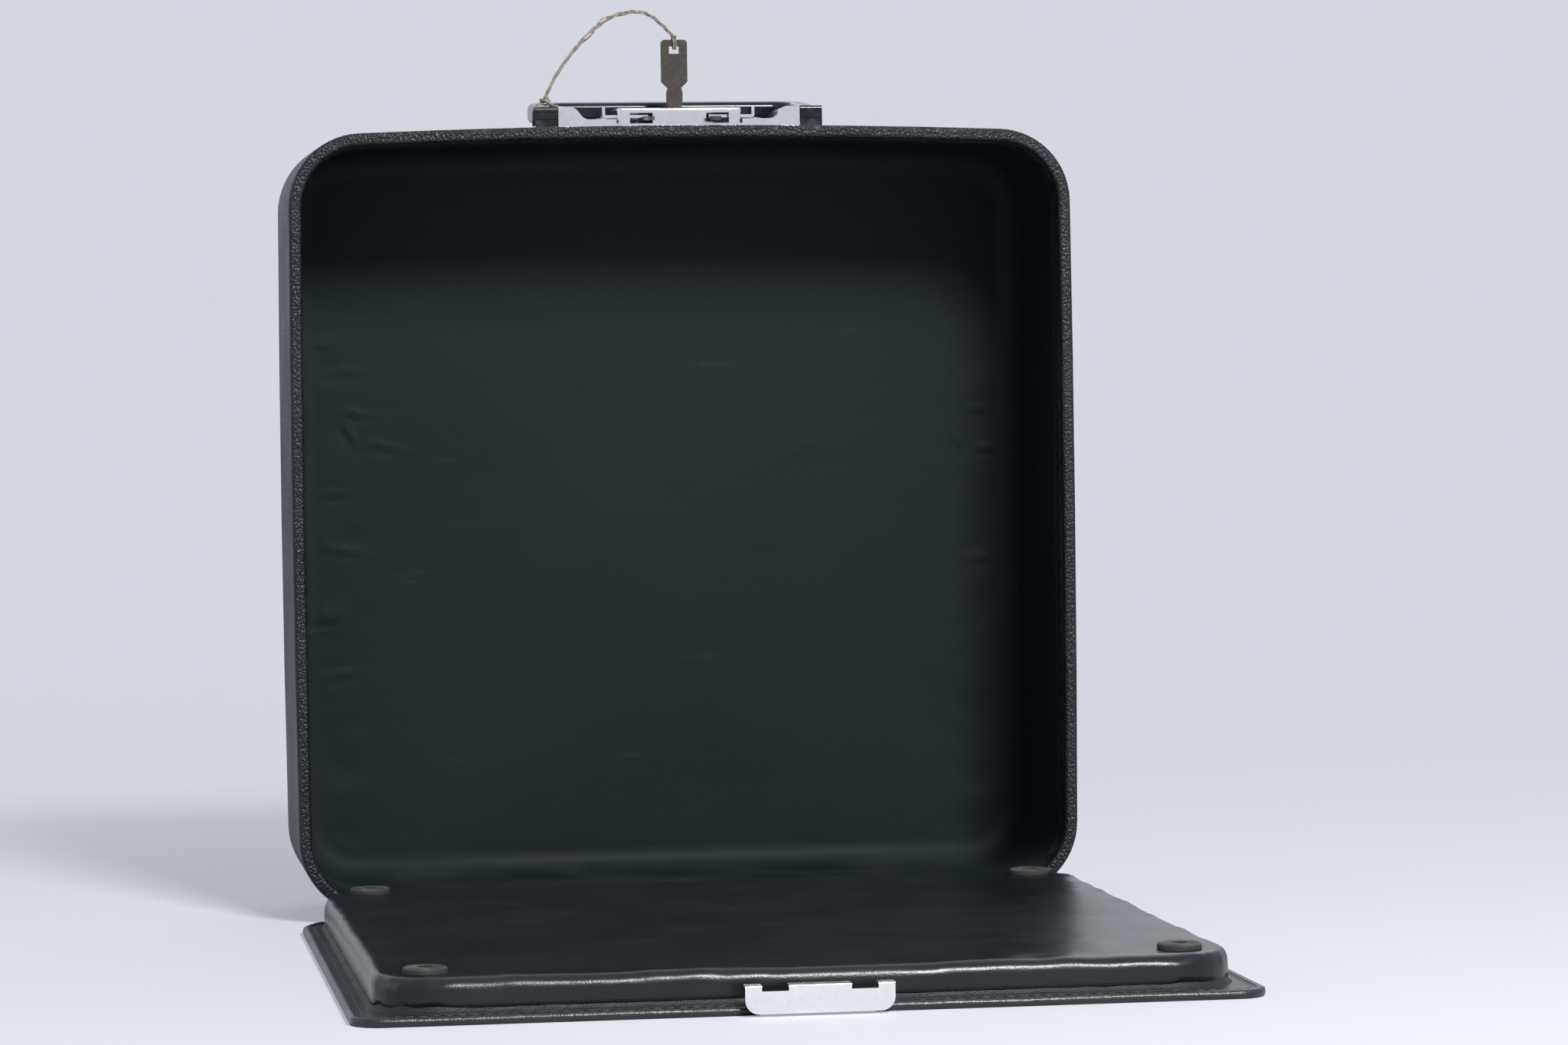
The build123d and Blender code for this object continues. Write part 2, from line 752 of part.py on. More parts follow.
def handle_grip():
    """The bow: a cross bar on two arms, whose tongues turn on the pins."""
    half = bracket_outer_x - handle_side_clearance
    arm = bracket_width - 2 * handle_side_clearance
    outer = Pos(0, grip_length / 2) * Rectangle(2 * half, grip_length)
    outer = fillet(outer.vertices().group_by(Axis.Y)[-1], grip_corner_radius)
    inner_length = grip_length - grip_bar
    inner = Pos(0, inner_length / 2) * Rectangle(2 * (half - arm), inner_length)
    inner = fillet(inner.vertices().group_by(Axis.Y)[-1], grip_inner_radius)
    ends = Pos(0, grip_start / 2) * Rectangle(3 * half, grip_start)
    bow = extrude(outer - inner - ends, grip_thickness / 2, both=True)
    faces = bow.faces().filter_by(Axis.Z)
    bow = fillet(faces.edges().filter_by(lambda edge: edge.center().Y > grip_start + 1), grip_edge_radius)
    middle = bracket_outer_x - bracket_width / 2
    radius = handle_knuckle_radius - tongue_clearance
    for x in (-middle, middle):
        low = (x - tongue_width / 2, 0, -radius)
        web = box_between(low, (x + tongue_width / 2, grip_start + 1, radius))
        eye = rod(radius, (x - tongue_width / 2, 0, 0), (x + tongue_width / 2, 0, 0))
        bow = bow + web + eye
    bow = bow - rod(handle_pin_radius + handle_bore_clearance, (-half - 1, 0, 0), (half + 1, 0, 0))
    return Pos(0, handle_y, handle_z) * (Rot(grip_tilt, 0, 0) * bow)


# ---- twine ----
twine_points = [
    (-54.6, 175.6, 334.0),
    (-50.4, 176.3, 343.0),
    (-43.0, 177.8, 352.6),
    (-34.6, 179.2, 362.0),
    (-24.0, 181.2, 369.0),
    (-11.6, 183.4, 369.8),
    (-3.6, 185.2, 363.2),
    (-0.6, 186.2, 359.9),
]


def corner_radii(points):
    """As large an arc at each point as its two runs allow: 0.45 of the shorter run."""
    radii = []
    for before, corner, after in zip(points, points[1:], points[2:]):
        first = Vector(*corner) - Vector(*before)
        second = Vector(*after) - Vector(*corner)
        turn = math.radians(first.get_angle(second))
        radii.append(0.45 * min(first.length, second.length) / math.tan(turn / 2))
    return radii


def key_twine():
    """The free twine between the knot and the key, as one round tube."""
    radii = corner_radii(twine_points)
    print("twine radii", [round(radius, 1) for radius in radii])
    path = FilletPolyline(*twine_points, radius=radii)
    section = Plane(origin=path @ 0, z_dir=path % 0) * Circle(twine_radius)
    tube = sweep(section, path=path)
    ideal = math.pi * twine_radius ** 2 * path.length
    print("twine length", round(path.length, 2), "volume ratio", round(tube.volume / ideal, 4))
    return tube


def twine_knot():
    """The knot on the left end block and the turn that goes down its side."""
    x, y, z = twine_points[0]
    block_top = lid_front_z + bracket_height
    centre_z = block_top + twine_knot_radius * 0.9
    knot = Pos(x, y, centre_z) * Sphere(twine_knot_radius)
    outside_x = -bracket_outer_x - twine_radius
    turn = rod(twine_radius, (x, y, centre_z), (outside_x, y, block_top))
    turn = turn + Pos(outside_x, y, block_top) * Sphere(twine_radius)
    turn = turn + rod(twine_radius, (outside_x, y, block_top), (outside_x, y, lid_front_z))
    bracket = handle_bracket().mirror(Plane.YZ)
    return cut_all(knot + turn, [bracket, lid_block(0, rim_y), key_twine_end()])


def key_twine_end():
    """The first stretch of the twine, which the knot is shaped around."""
    start = Vector(*twine_points[0])
    run = Vector(*twine_points[1]) - start
    end = start + run.normalized() * twine_knot_radius * 2
    return rod(twine_radius, tuple(start), tuple(end))


def key_loop():
    """The loop of twine through the key's hole."""
    bar_middle = (key_top + key_hole_z + key_hole_height / 2) / 2
    ring = Torus(twine_loop_radius, twine_loop_wire)
    return Pos(0, lock_axis_y, bar_middle) * (Rot(0, 90, 0) * ring)


# ---- write every piece ----
def pieces():
    """Every node of the case with its solids."""
    nodes = {
        "base_board": base_board(),
        "flange_cover": flange_cover(),
        "deck_core": deck_core(),
        "deck_padding": deck_padding(),
        "deck_cover": deck_cover(),
        "machine_foot_pads": machine_foot_pads(),
        "striker_plate": striker_plate(),
        "striker_rivets": striker_rivets(),
        "hinge_base_rivets": hinge_base_rivets(),
        "hinge_lid_rivets": hinge_lid_rivets(),
        "lid_shell": lid_shell(),
        "lid_cover": lid_cover(),
        "lid_liner": lid_liner(),
        "rim_piping": rim_piping(),
        "rim_hem": rim_hem(),
        "lid_glides": lid_glides(),
        "glide_pins": glide_pins(),
        "lock_backing_plate": lock_backing_plate(),
        "trim_plate": trim_plate(),
        "lock_case": lock_case(),
        "lock_barrel": lock_barrel(),
        "lock_plug": lock_plug(),
        "key": key(),
        "handle_grip": handle_grip(),
        "handle_pins": handle_pins(),
        "handle_rivets": handle_rivets(),
        "key_twine": key_twine(),
        "twine_knot": twine_knot(),
        "key_loop": key_loop(),
    }
    for side, name in ((-1, "left"), (1, "right")):
        nodes[f"hinge_base_leaf_{name}"] = hinge_leaf(side, -1, leaf_low_z, 0, hinge_pin_radius)
        bore = hinge_pin_radius + hinge_bore_clearance
        nodes[f"hinge_lid_leaf_{name}"] = hinge_leaf(side, 1, lid_leaf_low_z, 1, bore)
        nodes[f"hinge_pin_{name}"] = hinge_pin(side)
    paired = {
        "claw": claw(),
        "release_slider": release_slider(),
        "claw_spring": claw_spring(),
        "handle_bracket": handle_bracket(),
    }
    for name, right in paired.items():
        nodes[f"{name}_right"] = right
        nodes[f"{name}_left"] = right.mirror(Plane.YZ)
    return nodes


os.makedirs("parts", exist_ok=True)
for node, shape in pieces().items():
    solids = shape if isinstance(shape, list) else [shape]
    export_step(Compound(children=solids) if len(solids) > 1 else solids[0], f"parts/{node}.step")
    print(node, len(solids))
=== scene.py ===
# %% [markdown]
# # A portable typewriter case, dressed for a picture
# The case is already modelled and its hinges, latches and handle already move. This lesson loads
# that frame, keeps every rigid piece where it is, and gives each one the finish of the real
# material. Soft pieces, such as the padded deck, the lining and the twine, are made again here,
# because cloth and thread need many small uneven shapes.

# %% Load the frame
import json
import math
import bpy
from mathutils import Matrix, Vector, noise


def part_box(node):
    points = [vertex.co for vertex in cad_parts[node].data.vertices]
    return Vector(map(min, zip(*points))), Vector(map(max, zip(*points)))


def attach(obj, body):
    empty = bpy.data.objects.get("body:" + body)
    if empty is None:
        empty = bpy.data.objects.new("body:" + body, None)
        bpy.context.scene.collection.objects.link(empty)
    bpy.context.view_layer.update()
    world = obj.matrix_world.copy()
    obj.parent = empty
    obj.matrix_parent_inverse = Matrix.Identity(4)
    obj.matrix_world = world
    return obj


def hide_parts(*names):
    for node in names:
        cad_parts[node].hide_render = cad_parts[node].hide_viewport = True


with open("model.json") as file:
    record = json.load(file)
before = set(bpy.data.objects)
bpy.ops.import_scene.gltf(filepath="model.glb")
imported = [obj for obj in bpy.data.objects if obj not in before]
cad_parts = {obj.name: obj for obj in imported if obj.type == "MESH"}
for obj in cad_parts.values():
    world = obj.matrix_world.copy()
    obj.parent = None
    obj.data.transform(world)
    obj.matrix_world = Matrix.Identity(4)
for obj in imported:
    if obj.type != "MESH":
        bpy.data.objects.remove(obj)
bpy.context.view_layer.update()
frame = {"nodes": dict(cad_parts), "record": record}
nodes = frame["nodes"]
mm = 0.001

# %% [markdown]
# ## The camera
# A long lens standing low and well back, as for a product on a table: a wide lens close by would
# make the lid look smaller than the base. The focal length is given in pixels of a render 2048
# wide, and is turned into the lens's millimetres here.

# %% Camera
image_width = 2048
focal_pixels = 6600
sensor_width = 36.0
camera_place = Vector((-0.273, -1.880, 0.228))
camera_yaw = math.radians(8.7)
camera_pitch = math.radians(1.9)
camera_roll = math.radians(-0.8)


def camera_matrix():
    """The camera's place and turn: yaw to the right, pitch down, roll about the view."""
    ahead = Vector((
        math.sin(camera_yaw) * math.cos(camera_pitch),
        math.cos(camera_yaw) * math.cos(camera_pitch),
        -math.sin(camera_pitch),
    ))
    right = Vector((math.cos(camera_yaw), -math.sin(camera_yaw), 0))
    above = right.cross(ahead)
    side = right * math.cos(camera_roll) + above * math.sin(camera_roll)
    top = above * math.cos(camera_roll) - right * math.sin(camera_roll)
    turn = Matrix((side, top, -ahead)).transposed().to_4x4()
    return Matrix.Translation(camera_place) @ turn


camera_data = bpy.data.cameras.new("camera")
camera_data.lens = focal_pixels / image_width * sensor_width
camera_data.sensor_width = sensor_width
camera = bpy.data.objects.new("camera", camera_data)
camera.matrix_world = camera_matrix()
bpy.context.scene.collection.objects.link(camera)
bpy.context.scene.camera = camera
print("lens", round(camera_data.lens, 1))

# %% [markdown]
# ## Small tools for meshes
# Most soft pieces are skins: a closed outline repeated at several depths. One helper walks round
# a rounded rectangle, another joins rings of points with four-sided faces, a third draws a thread
# as a round tube. Keeping them apart lets each piece below be a few lines.

# %% Meshes and outlines
def add_mesh(name, points, faces, body, slot, smooth=True):
    """Make an object from points in metres, and let it ride on a body."""
    mesh = bpy.data.meshes.new(name)
    mesh.from_pydata([tuple(point) for point in points], [], faces)
    mesh.update()
    for polygon in mesh.polygons:
        polygon.use_smooth = smooth
    piece = bpy.data.objects.new(name, mesh)
    bpy.context.scene.collection.objects.link(piece)
    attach(piece, body)
    return piece


def rounded_outline(low, high, radii, spacing):
    """Points and outward normals round a rectangle whose four corners have their own radii."""
    corners = [
        (Vector((high[0], low[1])), radii[0], -90),
        (Vector((high[0], high[1])), radii[1], 0),
        (Vector((low[0], high[1])), radii[2], 90),
        (Vector((low[0], low[1])), radii[3], 180),
    ]
    signs = [(-1, 1), (-1, -1), (1, -1), (1, 1)]
    points = []
    normals = []
    for (corner, radius, start), sign in zip(corners, signs):
        centre = corner + Vector((sign[0] * radius, sign[1] * radius))
        steps = max(4, round(radius * math.pi / 2 / spacing))
        for step in range(steps + 1):
            angle = math.radians(start + 90 * step / steps)
            outward = Vector((math.cos(angle), math.sin(angle)))
            if points and step == 0:
                fill_straight(points, normals, centre + outward * radius, outward, spacing)
            points.append(centre + outward * radius)
            normals.append(outward)
    fill_straight(points, normals, points[0], normals[0], spacing)
    return points, normals


def fill_straight(points, normals, target, outward, spacing):
    """Add evenly spaced points between the last point and the next corner."""
    start = points[-1].copy()
    count = int((target - start).length / spacing)
    for step in range(1, count):
        points.append(start.lerp(target, step / count))
        normals.append(outward.copy())


print("outline helpers ready")


# %% Rings and tubes
def join_rings(rings, cap_first=False, cap_last=False, closed=True):
    """Faces between rings of equal length, with flat caps where asked."""
    count = len(rings[0])
    points = [point for ring in rings for point in ring]
    faces = []
    last = count if closed else count - 1
    for level in range(len(rings) - 1):
        for index in range(last):
            after = (index + 1) % count
            low = level * count
            high = low + count
            faces.append((low + index, low + after, high + after, high + index))
    if cap_first:
        faces.append(tuple(reversed(range(count))))
    if cap_last:
        first = (len(rings) - 1) * count
        faces.append(tuple(range(first, first + count)))
    return points, faces


def tube_mesh(path, radius, sides):
    """Rings round a path of points, turned along with it, closed at both ends."""
    rings = []
    # a direction that no path here starts along; from there it turns with the path
    guide = Vector((0.13, 0.21, 0.97))
    for index, place in enumerate(path):
        ahead = (path[min(index + 1, len(path) - 1)] - path[max(index - 1, 0)]).normalized()
        across = ahead.cross(guide).normalized()
        guide = across.cross(ahead).normalized()
        ring = []
        for side in range(sides):
            angle = 2 * math.pi * side / sides
            ring.append(place + (across * math.cos(angle) + guide * math.sin(angle)) * radius)
        rings.append(ring)
    return join_rings(rings, True, True)


def merge_parts(parts):
    """Several lists of points and faces as one."""
    points = []
    faces = []
    for part_points, part_faces in parts:
        start = len(points)
        points += part_points
        faces += [tuple(start + index for index in face) for face in part_faces]
    return points, faces


print("ring and tube helpers ready")

# %% [markdown]
# ## The twine on the key
# Old natural string, two or three thin strands, tied round the left end block and through the
# key's hole. It is stiff from age and stands in an arch. A smooth NURBS line carries the route,
# and three strands wind loosely round that line, so the string reads as thread and not as wire.

# %% Twine route
twine_points = [
    (-54.6, 175.6, 334.0),
    (-50.4, 176.3, 343.0),
    (-43.0, 177.8, 352.6),
    (-34.6, 179.2, 362.0),
    (-24.0, 181.2, 369.0),
    (-11.6, 183.4, 369.8),
    (-3.6, 185.2, 363.2),
    (-0.6, 186.2, 359.9),
]
strand_radius = 0.36 * mm
strand_sides = 7
strand_count = 3
strand_turns = 4.0
# where along the route the strands part, over what share of it, and how far each one strays
parting_middle = 0.45
parting_width = 0.18
least_stray = 0.40
added_stray = (0.80, 0.15, 0.15)


def route_line(points):
    """Evenly sampled points of the smooth line that the route controls."""
    curve = bpy.data.curves.new("twine_route", "CURVE")
    curve.dimensions = "3D"
    spline = curve.splines.new("NURBS")
    spline.points.add(len(points) - 1)
    for control, point in zip(spline.points, points):
        control.co = (point[0] * mm, point[1] * mm, point[2] * mm, 1)
    spline.order_u = 3
    spline.use_endpoint_u = True
    spline.resolution_u = 12
    holder = bpy.data.objects.new("twine_route", curve)
    bpy.context.scene.collection.objects.link(holder)
    line = [vertex.co.copy() for vertex in bpy.data.meshes.new_from_object(holder).vertices]
    bpy.data.objects.remove(holder)
    return line


def strand_path(line, index):
    """One strand: it winds round the line and strays from it where the strands part."""
    path = []
    for step, place in enumerate(line):
        share = step / (len(line) - 1)
        angle = 2 * math.pi * (index / strand_count + share * strand_turns)
        parting = math.exp(-((share - parting_middle) / parting_width) ** 2)
        stray = least_stray * mm + added_stray[index] * mm * parting
        ahead = (line[min(step + 1, len(line) - 1)] - line[max(step - 1, 0)]).normalized()
        across = ahead.cross(Vector((0, 1, 0))).normalized()
        other = across.cross(ahead)
        path.append(place + (across * math.cos(angle) + other * math.sin(angle)) * stray)
    return path


twine_line = route_line(twine_points)
strands = [tube_mesh(strand_path(twine_line, index), strand_radius, strand_sides)
           for index in range(strand_count)]
twine = add_mesh("key_twine_strands", *merge_parts(strands), "lid", "twine")
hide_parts("key_twine")

# %% Knot and loop
steps_a_turn = 40
knot_drop = 1.4 * mm
# the two tails are a little thicker than a strand, and the left one stands off the block's side
tail_radius = strand_radius * 1.3
tail_gap = 0.45 * mm


def turn_round(centre, radius_a, radius_b, axis_a, axis_b, turns, drift):
    """A winding round a centre, drifting sideways as it goes."""
    path = []
    for step in range(int(steps_a_turn * turns) + 1):
        angle = 2 * math.pi * step / steps_a_turn
        offset = axis_a * radius_a * math.cos(angle) + axis_b * radius_b * math.sin(angle)
        path.append(centre + offset + drift * (step / (steps_a_turn * turns)))
    return path


block_low, block_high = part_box("handle_bracket_left")
knot_place = Vector(twine_points[0]) * mm - Vector((0, 0, knot_drop))
across_x = Vector((1, 0, 0))
across_y = Vector((0, 1, 0))
upward = Vector((0, 0, 1))
knot_turns = [
    turn_round(knot_place, 1.7 * mm, 1.3 * mm, across_x, upward, 2.0, across_y * 1.2 * mm),
    turn_round(knot_place, 1.5 * mm, 1.5 * mm, across_y, upward, 1.6, across_x * 1.4 * mm),
    turn_round(knot_place, 1.9 * mm, 1.5 * mm, across_x, across_y, 1.7, upward * 0.9 * mm),
]
side_x = block_low[0] - tail_gap
tail_left = [
    knot_place,
    Vector((side_x + 1.2 * mm, knot_place.y, block_high[2] + 0.6 * mm)),
    Vector((side_x, knot_place.y - 0.3 * mm, block_high[2] - 1.2 * mm)),
    Vector((side_x, knot_place.y, block_high[2] - 5.0 * mm)),
    Vector((side_x, knot_place.y + 0.8 * mm, block_high[2] - 7.6 * mm)),
]
tail_right = [
    knot_place,
    Vector((block_high[0] - 1.0 * mm, knot_place.y - 0.6 * mm, block_high[2] + 0.5 * mm)),
    Vector((block_high[0] + 0.6 * mm, knot_place.y - 1.2 * mm, block_high[2] + 0.15 * mm)),
]
knot_parts = [tube_mesh(path, strand_radius, strand_sides) for path in knot_turns]
knot_parts += [tube_mesh(path, tail_radius, strand_sides) for path in (tail_left, tail_right)]
knot = add_mesh("twine_knot_turns", *merge_parts(knot_parts), "lid", "twine")
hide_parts("twine_knot")

loop_low, loop_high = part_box("key_loop")
loop_centre = (Vector(loop_low) + Vector(loop_high)) / 2
loop_height = (loop_high[2] - loop_low[2]) / 2 - strand_radius
loop_parts = []
for shift in (-0.55, 0.35):
    start = loop_centre + across_x * shift * mm
    ring = turn_round(start, loop_height * 0.9, loop_height, across_y, upward, 1.0, across_x * 0.5 * mm)
    loop_parts.append(tube_mesh(ring, strand_radius, strand_sides))
top_of_loop = loop_centre + upward * loop_height
top_turn = turn_round(top_of_loop, 0.9 * mm, 0.9 * mm, across_x, across_y, 1.6, upward * 0.8 * mm)
loop_parts.append(tube_mesh(top_turn, strand_radius, strand_sides))
loop = add_mesh("key_loop_strands", *merge_parts(loop_parts), "lock_key", "twine")
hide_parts("key_loop")
print("knot and loop made")

# %% [markdown]
# ## Floor and light
# A pale floor and a pale surround. The main lamp is a big soft one high in front and a little to
# the right, so the lid's top and right walls shade the inside, and the glossy vinyl on the
# deck's edge catches it as small bright glints. The surround looks bright to the camera and in
# reflections, but gives little light of its own.

# %% Floor
floor_color = (0.76, 0.78, 0.83)
near_color = (0.86, 0.88, 0.97)
far_color = (0.66, 0.68, 0.75)
near_glow = 0.40
# distances from the case, in metres, between which the floor melts into the surround
fade_start = 0.35
fade_end = 1.9


def shade_stage(name, color):
    """A matte floor that keeps shadows near the case and melts into the surround far away."""
    material = bpy.data.materials.new(name)
    material.use_nodes = True
    tree = material.node_tree
    shader = tree.nodes["Principled BSDF"]
    shader.inputs["Base Color"].default_value = (*color, 1)
    shader.inputs["Roughness"].default_value = 0.75
    shader.inputs["Specular IOR Level"].default_value = 0.2
    glow = tree.nodes.new("ShaderNodeEmission")
    place = tree.nodes.new("ShaderNodeTexCoord")
    reach = tree.nodes.new("ShaderNodeVectorMath")
    reach.operation = "LENGTH"
    tree.links.new(place.outputs["Object"], reach.inputs[0])
    fade = tree.nodes.new("ShaderNodeMapRange")
    fade.interpolation_type = "SMOOTHSTEP"
    fade.inputs["From Min"].default_value = fade_start
    fade.inputs["From Max"].default_value = fade_end
    fade.inputs["To Min"].default_value = near_glow
    fade.inputs["To Max"].default_value = 1.0
    tree.links.new(reach.outputs["Value"], fade.inputs["Value"])
    tint = tree.nodes.new("ShaderNodeMix")
    tint.data_type = "RGBA"
    tint.inputs[6].default_value = (*near_color, 1)
    tint.inputs[7].default_value = (*far_color, 1)
    tree.links.new(fade.outputs["Result"], tint.inputs["Factor"])
    tree.links.new(tint.outputs[2], glow.inputs["Color"])
    ray = tree.nodes.new("ShaderNodeLightPath")
    share = tree.nodes.new("ShaderNodeMath")
    share.operation = "MULTIPLY"
    tree.links.new(fade.outputs["Result"], share.inputs[0])
    tree.links.new(ray.outputs["Is Camera Ray"], share.inputs[1])
    mixed = tree.nodes.new("ShaderNodeMixShader")
    tree.links.new(share.outputs[0], mixed.inputs[0])
    tree.links.new(shader.outputs[0], mixed.inputs[1])
    tree.links.new(glow.outputs[0], mixed.inputs[2])
    tree.links.new(mixed.outputs[0], tree.nodes["Material Output"].inputs["Surface"])
    return material


floor_half = 30.0
floor_mesh = bpy.data.meshes.new("floor")
floor_corners = [(x * floor_half, y * floor_half, 0) for x, y in ((-1, -1), (1, -1), (1, 1), (-1, 1))]
floor_mesh.from_pydata(floor_corners, [], [(0, 1, 2, 3)])
floor_mesh.materials.append(shade_stage("pale_floor", floor_color))
floor = bpy.data.objects.new("floor", floor_mesh)
bpy.context.scene.collection.objects.link(floor)
print("floor ready")


# %% Lamps
def area_lamp(name, place, aim, size, power, color=(1, 1, 1)):
    """A soft square lamp that points at a place."""
    data = bpy.data.lights.new(name, "AREA")
    data.size = size
    data.energy = power
    data.color = color
    lamp = bpy.data.objects.new(name, data)
    lamp.location = place
    lamp.rotation_euler = (Vector(aim) - Vector(place)).to_track_quat("-Z", "Y").to_euler()
    bpy.context.scene.collection.objects.link(lamp)


area_lamp("main_lamp", (0.52, -1.75, 1.57), (0.0, 0.15, 0.12), 0.55, 66)
area_lamp("side_lamp", (-2.0, 0.3, 0.9), (0, 0.1, 0.15), 1.2, 3.5, (0.92, 0.96, 1.0))
area_lamp("back_lamp", (0.6, 1.9, 1.6), (0, 0.2, 0.2), 1.6, 9)
print("lamps", len(bpy.data.lights))

# %% Surround
world = bpy.data.worlds.new("surround")
world.use_nodes = True
bpy.context.scene.world = world
world_tree = world.node_tree
surround = world_tree.nodes["Background"]
surround.inputs["Color"].default_value = (0.72, 0.76, 0.82, 1)
surround.inputs["Strength"].default_value = 0.24
seen_surround = world_tree.nodes.new("ShaderNodeBackground")
seen_surround.inputs["Color"].default_value = (*far_color, 1)
seen_surround.inputs["Strength"].default_value = 1.0
light_path = world_tree.nodes.new("ShaderNodeLightPath")
either_ray = world_tree.nodes.new("ShaderNodeMath")
either_ray.operation = "MAXIMUM"
mixed_surround = world_tree.nodes.new("ShaderNodeMixShader")
world_tree.links.new(light_path.outputs["Is Camera Ray"], either_ray.inputs[0])
world_tree.links.new(light_path.outputs["Is Glossy Ray"], either_ray.inputs[1])
world_tree.links.new(either_ray.outputs[0], mixed_surround.inputs[0])
world_tree.links.new(surround.outputs[0], mixed_surround.inputs[1])
world_tree.links.new(seen_surround.outputs[0], mixed_surround.inputs[2])
world_tree.links.new(mixed_surround.outputs[0], world_tree.nodes["World Output"].inputs["Surface"])
bpy.context.scene.view_settings.view_transform = "Standard"
print("surround ready")

# %% [markdown]
# ## Effects that several finishes share
# Grain, creases, worn edges, dust and scuffs turn up on many pieces. Each is a node group with
# named inputs, built once. A group only gives heights, masks or colours; the shader that uses
# them stays in the material, so that each finish is still readable by itself.

# %% Group helpers
def start_group(name, inputs, outputs):
    """A new shader group with float inputs and the named outputs."""
    group = bpy.data.node_groups.new(name, "ShaderNodeTree")
    for label, value in inputs.items():
        socket = group.interface.new_socket(label, in_out="INPUT", socket_type="NodeSocketFloat")
        socket.default_value = value
    for label in outputs:
        group.interface.new_socket(label, in_out="OUTPUT", socket_type="NodeSocketFloat")
    enter = group.nodes.new("NodeGroupInput")
    leave = group.nodes.new("NodeGroupOutput")
    return group, enter, leave


def calculate(tree, operation, first, second=0.0):
    """A math node whose two inputs are sockets or numbers; gives back its output socket."""
    node = tree.nodes.new("ShaderNodeMath")
    node.operation = operation
    for socket, value in zip(node.inputs, (first, second)):
        if isinstance(value, (int, float)):
            socket.default_value = value
        else:
            tree.links.new(value, socket)
    return node.outputs[0]


def ramp_between(tree, value, low, high):
    """0 below low, 1 above high, smooth between."""
    node = tree.nodes.new("ShaderNodeMapRange")
    node.interpolation_type = "SMOOTHSTEP"
    node.inputs["From Min"].default_value = low
    node.inputs["From Max"].default_value = high
    tree.links.new(value, node.inputs["Value"])
    return node.outputs["Result"]


def noise_texture(tree, scale, detail=3.0, stretch=(1, 1, 1), distortion=0.0):
    """Noise in the piece's own space; scale is a number or a socket, per metre."""
    place = tree.nodes.new("ShaderNodeTexCoord")
    mapping = tree.nodes.new("ShaderNodeMapping")
    mapping.inputs["Scale"].default_value = stretch
    texture = tree.nodes.new("ShaderNodeTexNoise")
    texture.inputs["Detail"].default_value = detail
    texture.inputs["Distortion"].default_value = distortion
    tree.links.new(place.outputs["Object"], mapping.inputs["Vector"])
    tree.links.new(mapping.outputs["Vector"], texture.inputs["Vector"])
    if isinstance(scale, (int, float)):
        texture.inputs["Scale"].default_value = scale
    else:
        tree.links.new(scale, texture.inputs["Scale"])
    return texture.outputs["Fac"]


print("group helpers ready")


# %% Grain and creases
def build_grain():
    """Pebbled grain of leathercloth: rounded cells with creases between them."""
    group, enter, leave = start_group("leather_grain", {"Scale": 700.0}, ["Height"])
    place = group.nodes.new("ShaderNodeTexCoord")
    cells = group.nodes.new("ShaderNodeTexVoronoi")
    cells.feature = "F1"
    group.links.new(place.outputs["Object"], cells.inputs["Vector"])
    group.links.new(enter.outputs["Scale"], cells.inputs["Scale"])
    dome = calculate(group, "SUBTRACT", 1.0, cells.outputs["Distance"])
    fine = noise_texture(group, calculate(group, "MULTIPLY", enter.outputs["Scale"], 2.3), 0.0)
    mixed = calculate(group, "ADD", dome, calculate(group, "MULTIPLY", fine, 0.35))
    group.links.new(mixed, leave.inputs["Height"])
    return group


def build_creases():
    """Long soft creases, as where vinyl is pulled over an edge."""
    group, enter, leave = start_group("creases", {"Scale": 40.0}, ["Height"])
    broad = noise_texture(group, enter.outputs["Scale"], 1.5, (1, 1, 1.6), 0.5)
    group.links.new(broad, leave.inputs["Height"])
    return group


print("grain and creases ready")


# %% Wear, dust, scuffs and mottle
def build_edge_wear():
    """Worn places on corners and edges, broken up by noise."""
    group, enter, leave = start_group("edge_wear", {"Amount": 0.5, "Scale": 120.0}, ["Mask"])
    geometry = group.nodes.new("ShaderNodeNewGeometry")
    corner = ramp_between(group, geometry.outputs["Pointiness"], 0.515, 0.60)
    broken = ramp_between(group, noise_texture(group, enter.outputs["Scale"], 1.5), 0.42, 0.66)
    worn = calculate(group, "MULTIPLY", corner, broken)
    group.links.new(calculate(group, "MULTIPLY", worn, enter.outputs["Amount"]), leave.inputs["Mask"])
    return group


def build_dust():
    """Dust that settles on faces that look up."""
    group, enter, leave = start_group("dust", {"Amount": 0.2, "Scale": 60.0}, ["Mask"])
    geometry = group.nodes.new("ShaderNodeNewGeometry")
    split = group.nodes.new("ShaderNodeSeparateXYZ")
    group.links.new(geometry.outputs["Normal"], split.inputs[0])
    facing = ramp_between(group, split.outputs["Z"], 0.3, 0.95)
    patchy = ramp_between(group, noise_texture(group, enter.outputs["Scale"], 2.5), 0.35, 0.75)
    settled = calculate(group, "MULTIPLY", facing, patchy)
    group.links.new(calculate(group, "MULTIPLY", settled, enter.outputs["Amount"]), leave.inputs["Mask"])
    return group


def build_scuffs():
    """Thin rubbed streaks, and a few larger rubbed spots."""
    group, enter, leave = start_group("scuffs", {"Amount": 0.3, "Scale": 30.0}, ["Mask"])
    streak_noise = noise_texture(group, enter.outputs["Scale"], 2.5, (1, 1, 9))
    streak = ramp_between(group, streak_noise, 0.66, 0.78)
    spot_scale = calculate(group, "MULTIPLY", enter.outputs["Scale"], 0.5)
    spot = ramp_between(group, noise_texture(group, spot_scale, 3.0), 0.64, 0.74)
    both = calculate(group, "MAXIMUM", streak, calculate(group, "MULTIPLY", spot, 0.6))
    group.links.new(calculate(group, "MULTIPLY", both, enter.outputs["Amount"]), leave.inputs["Mask"])
    return group


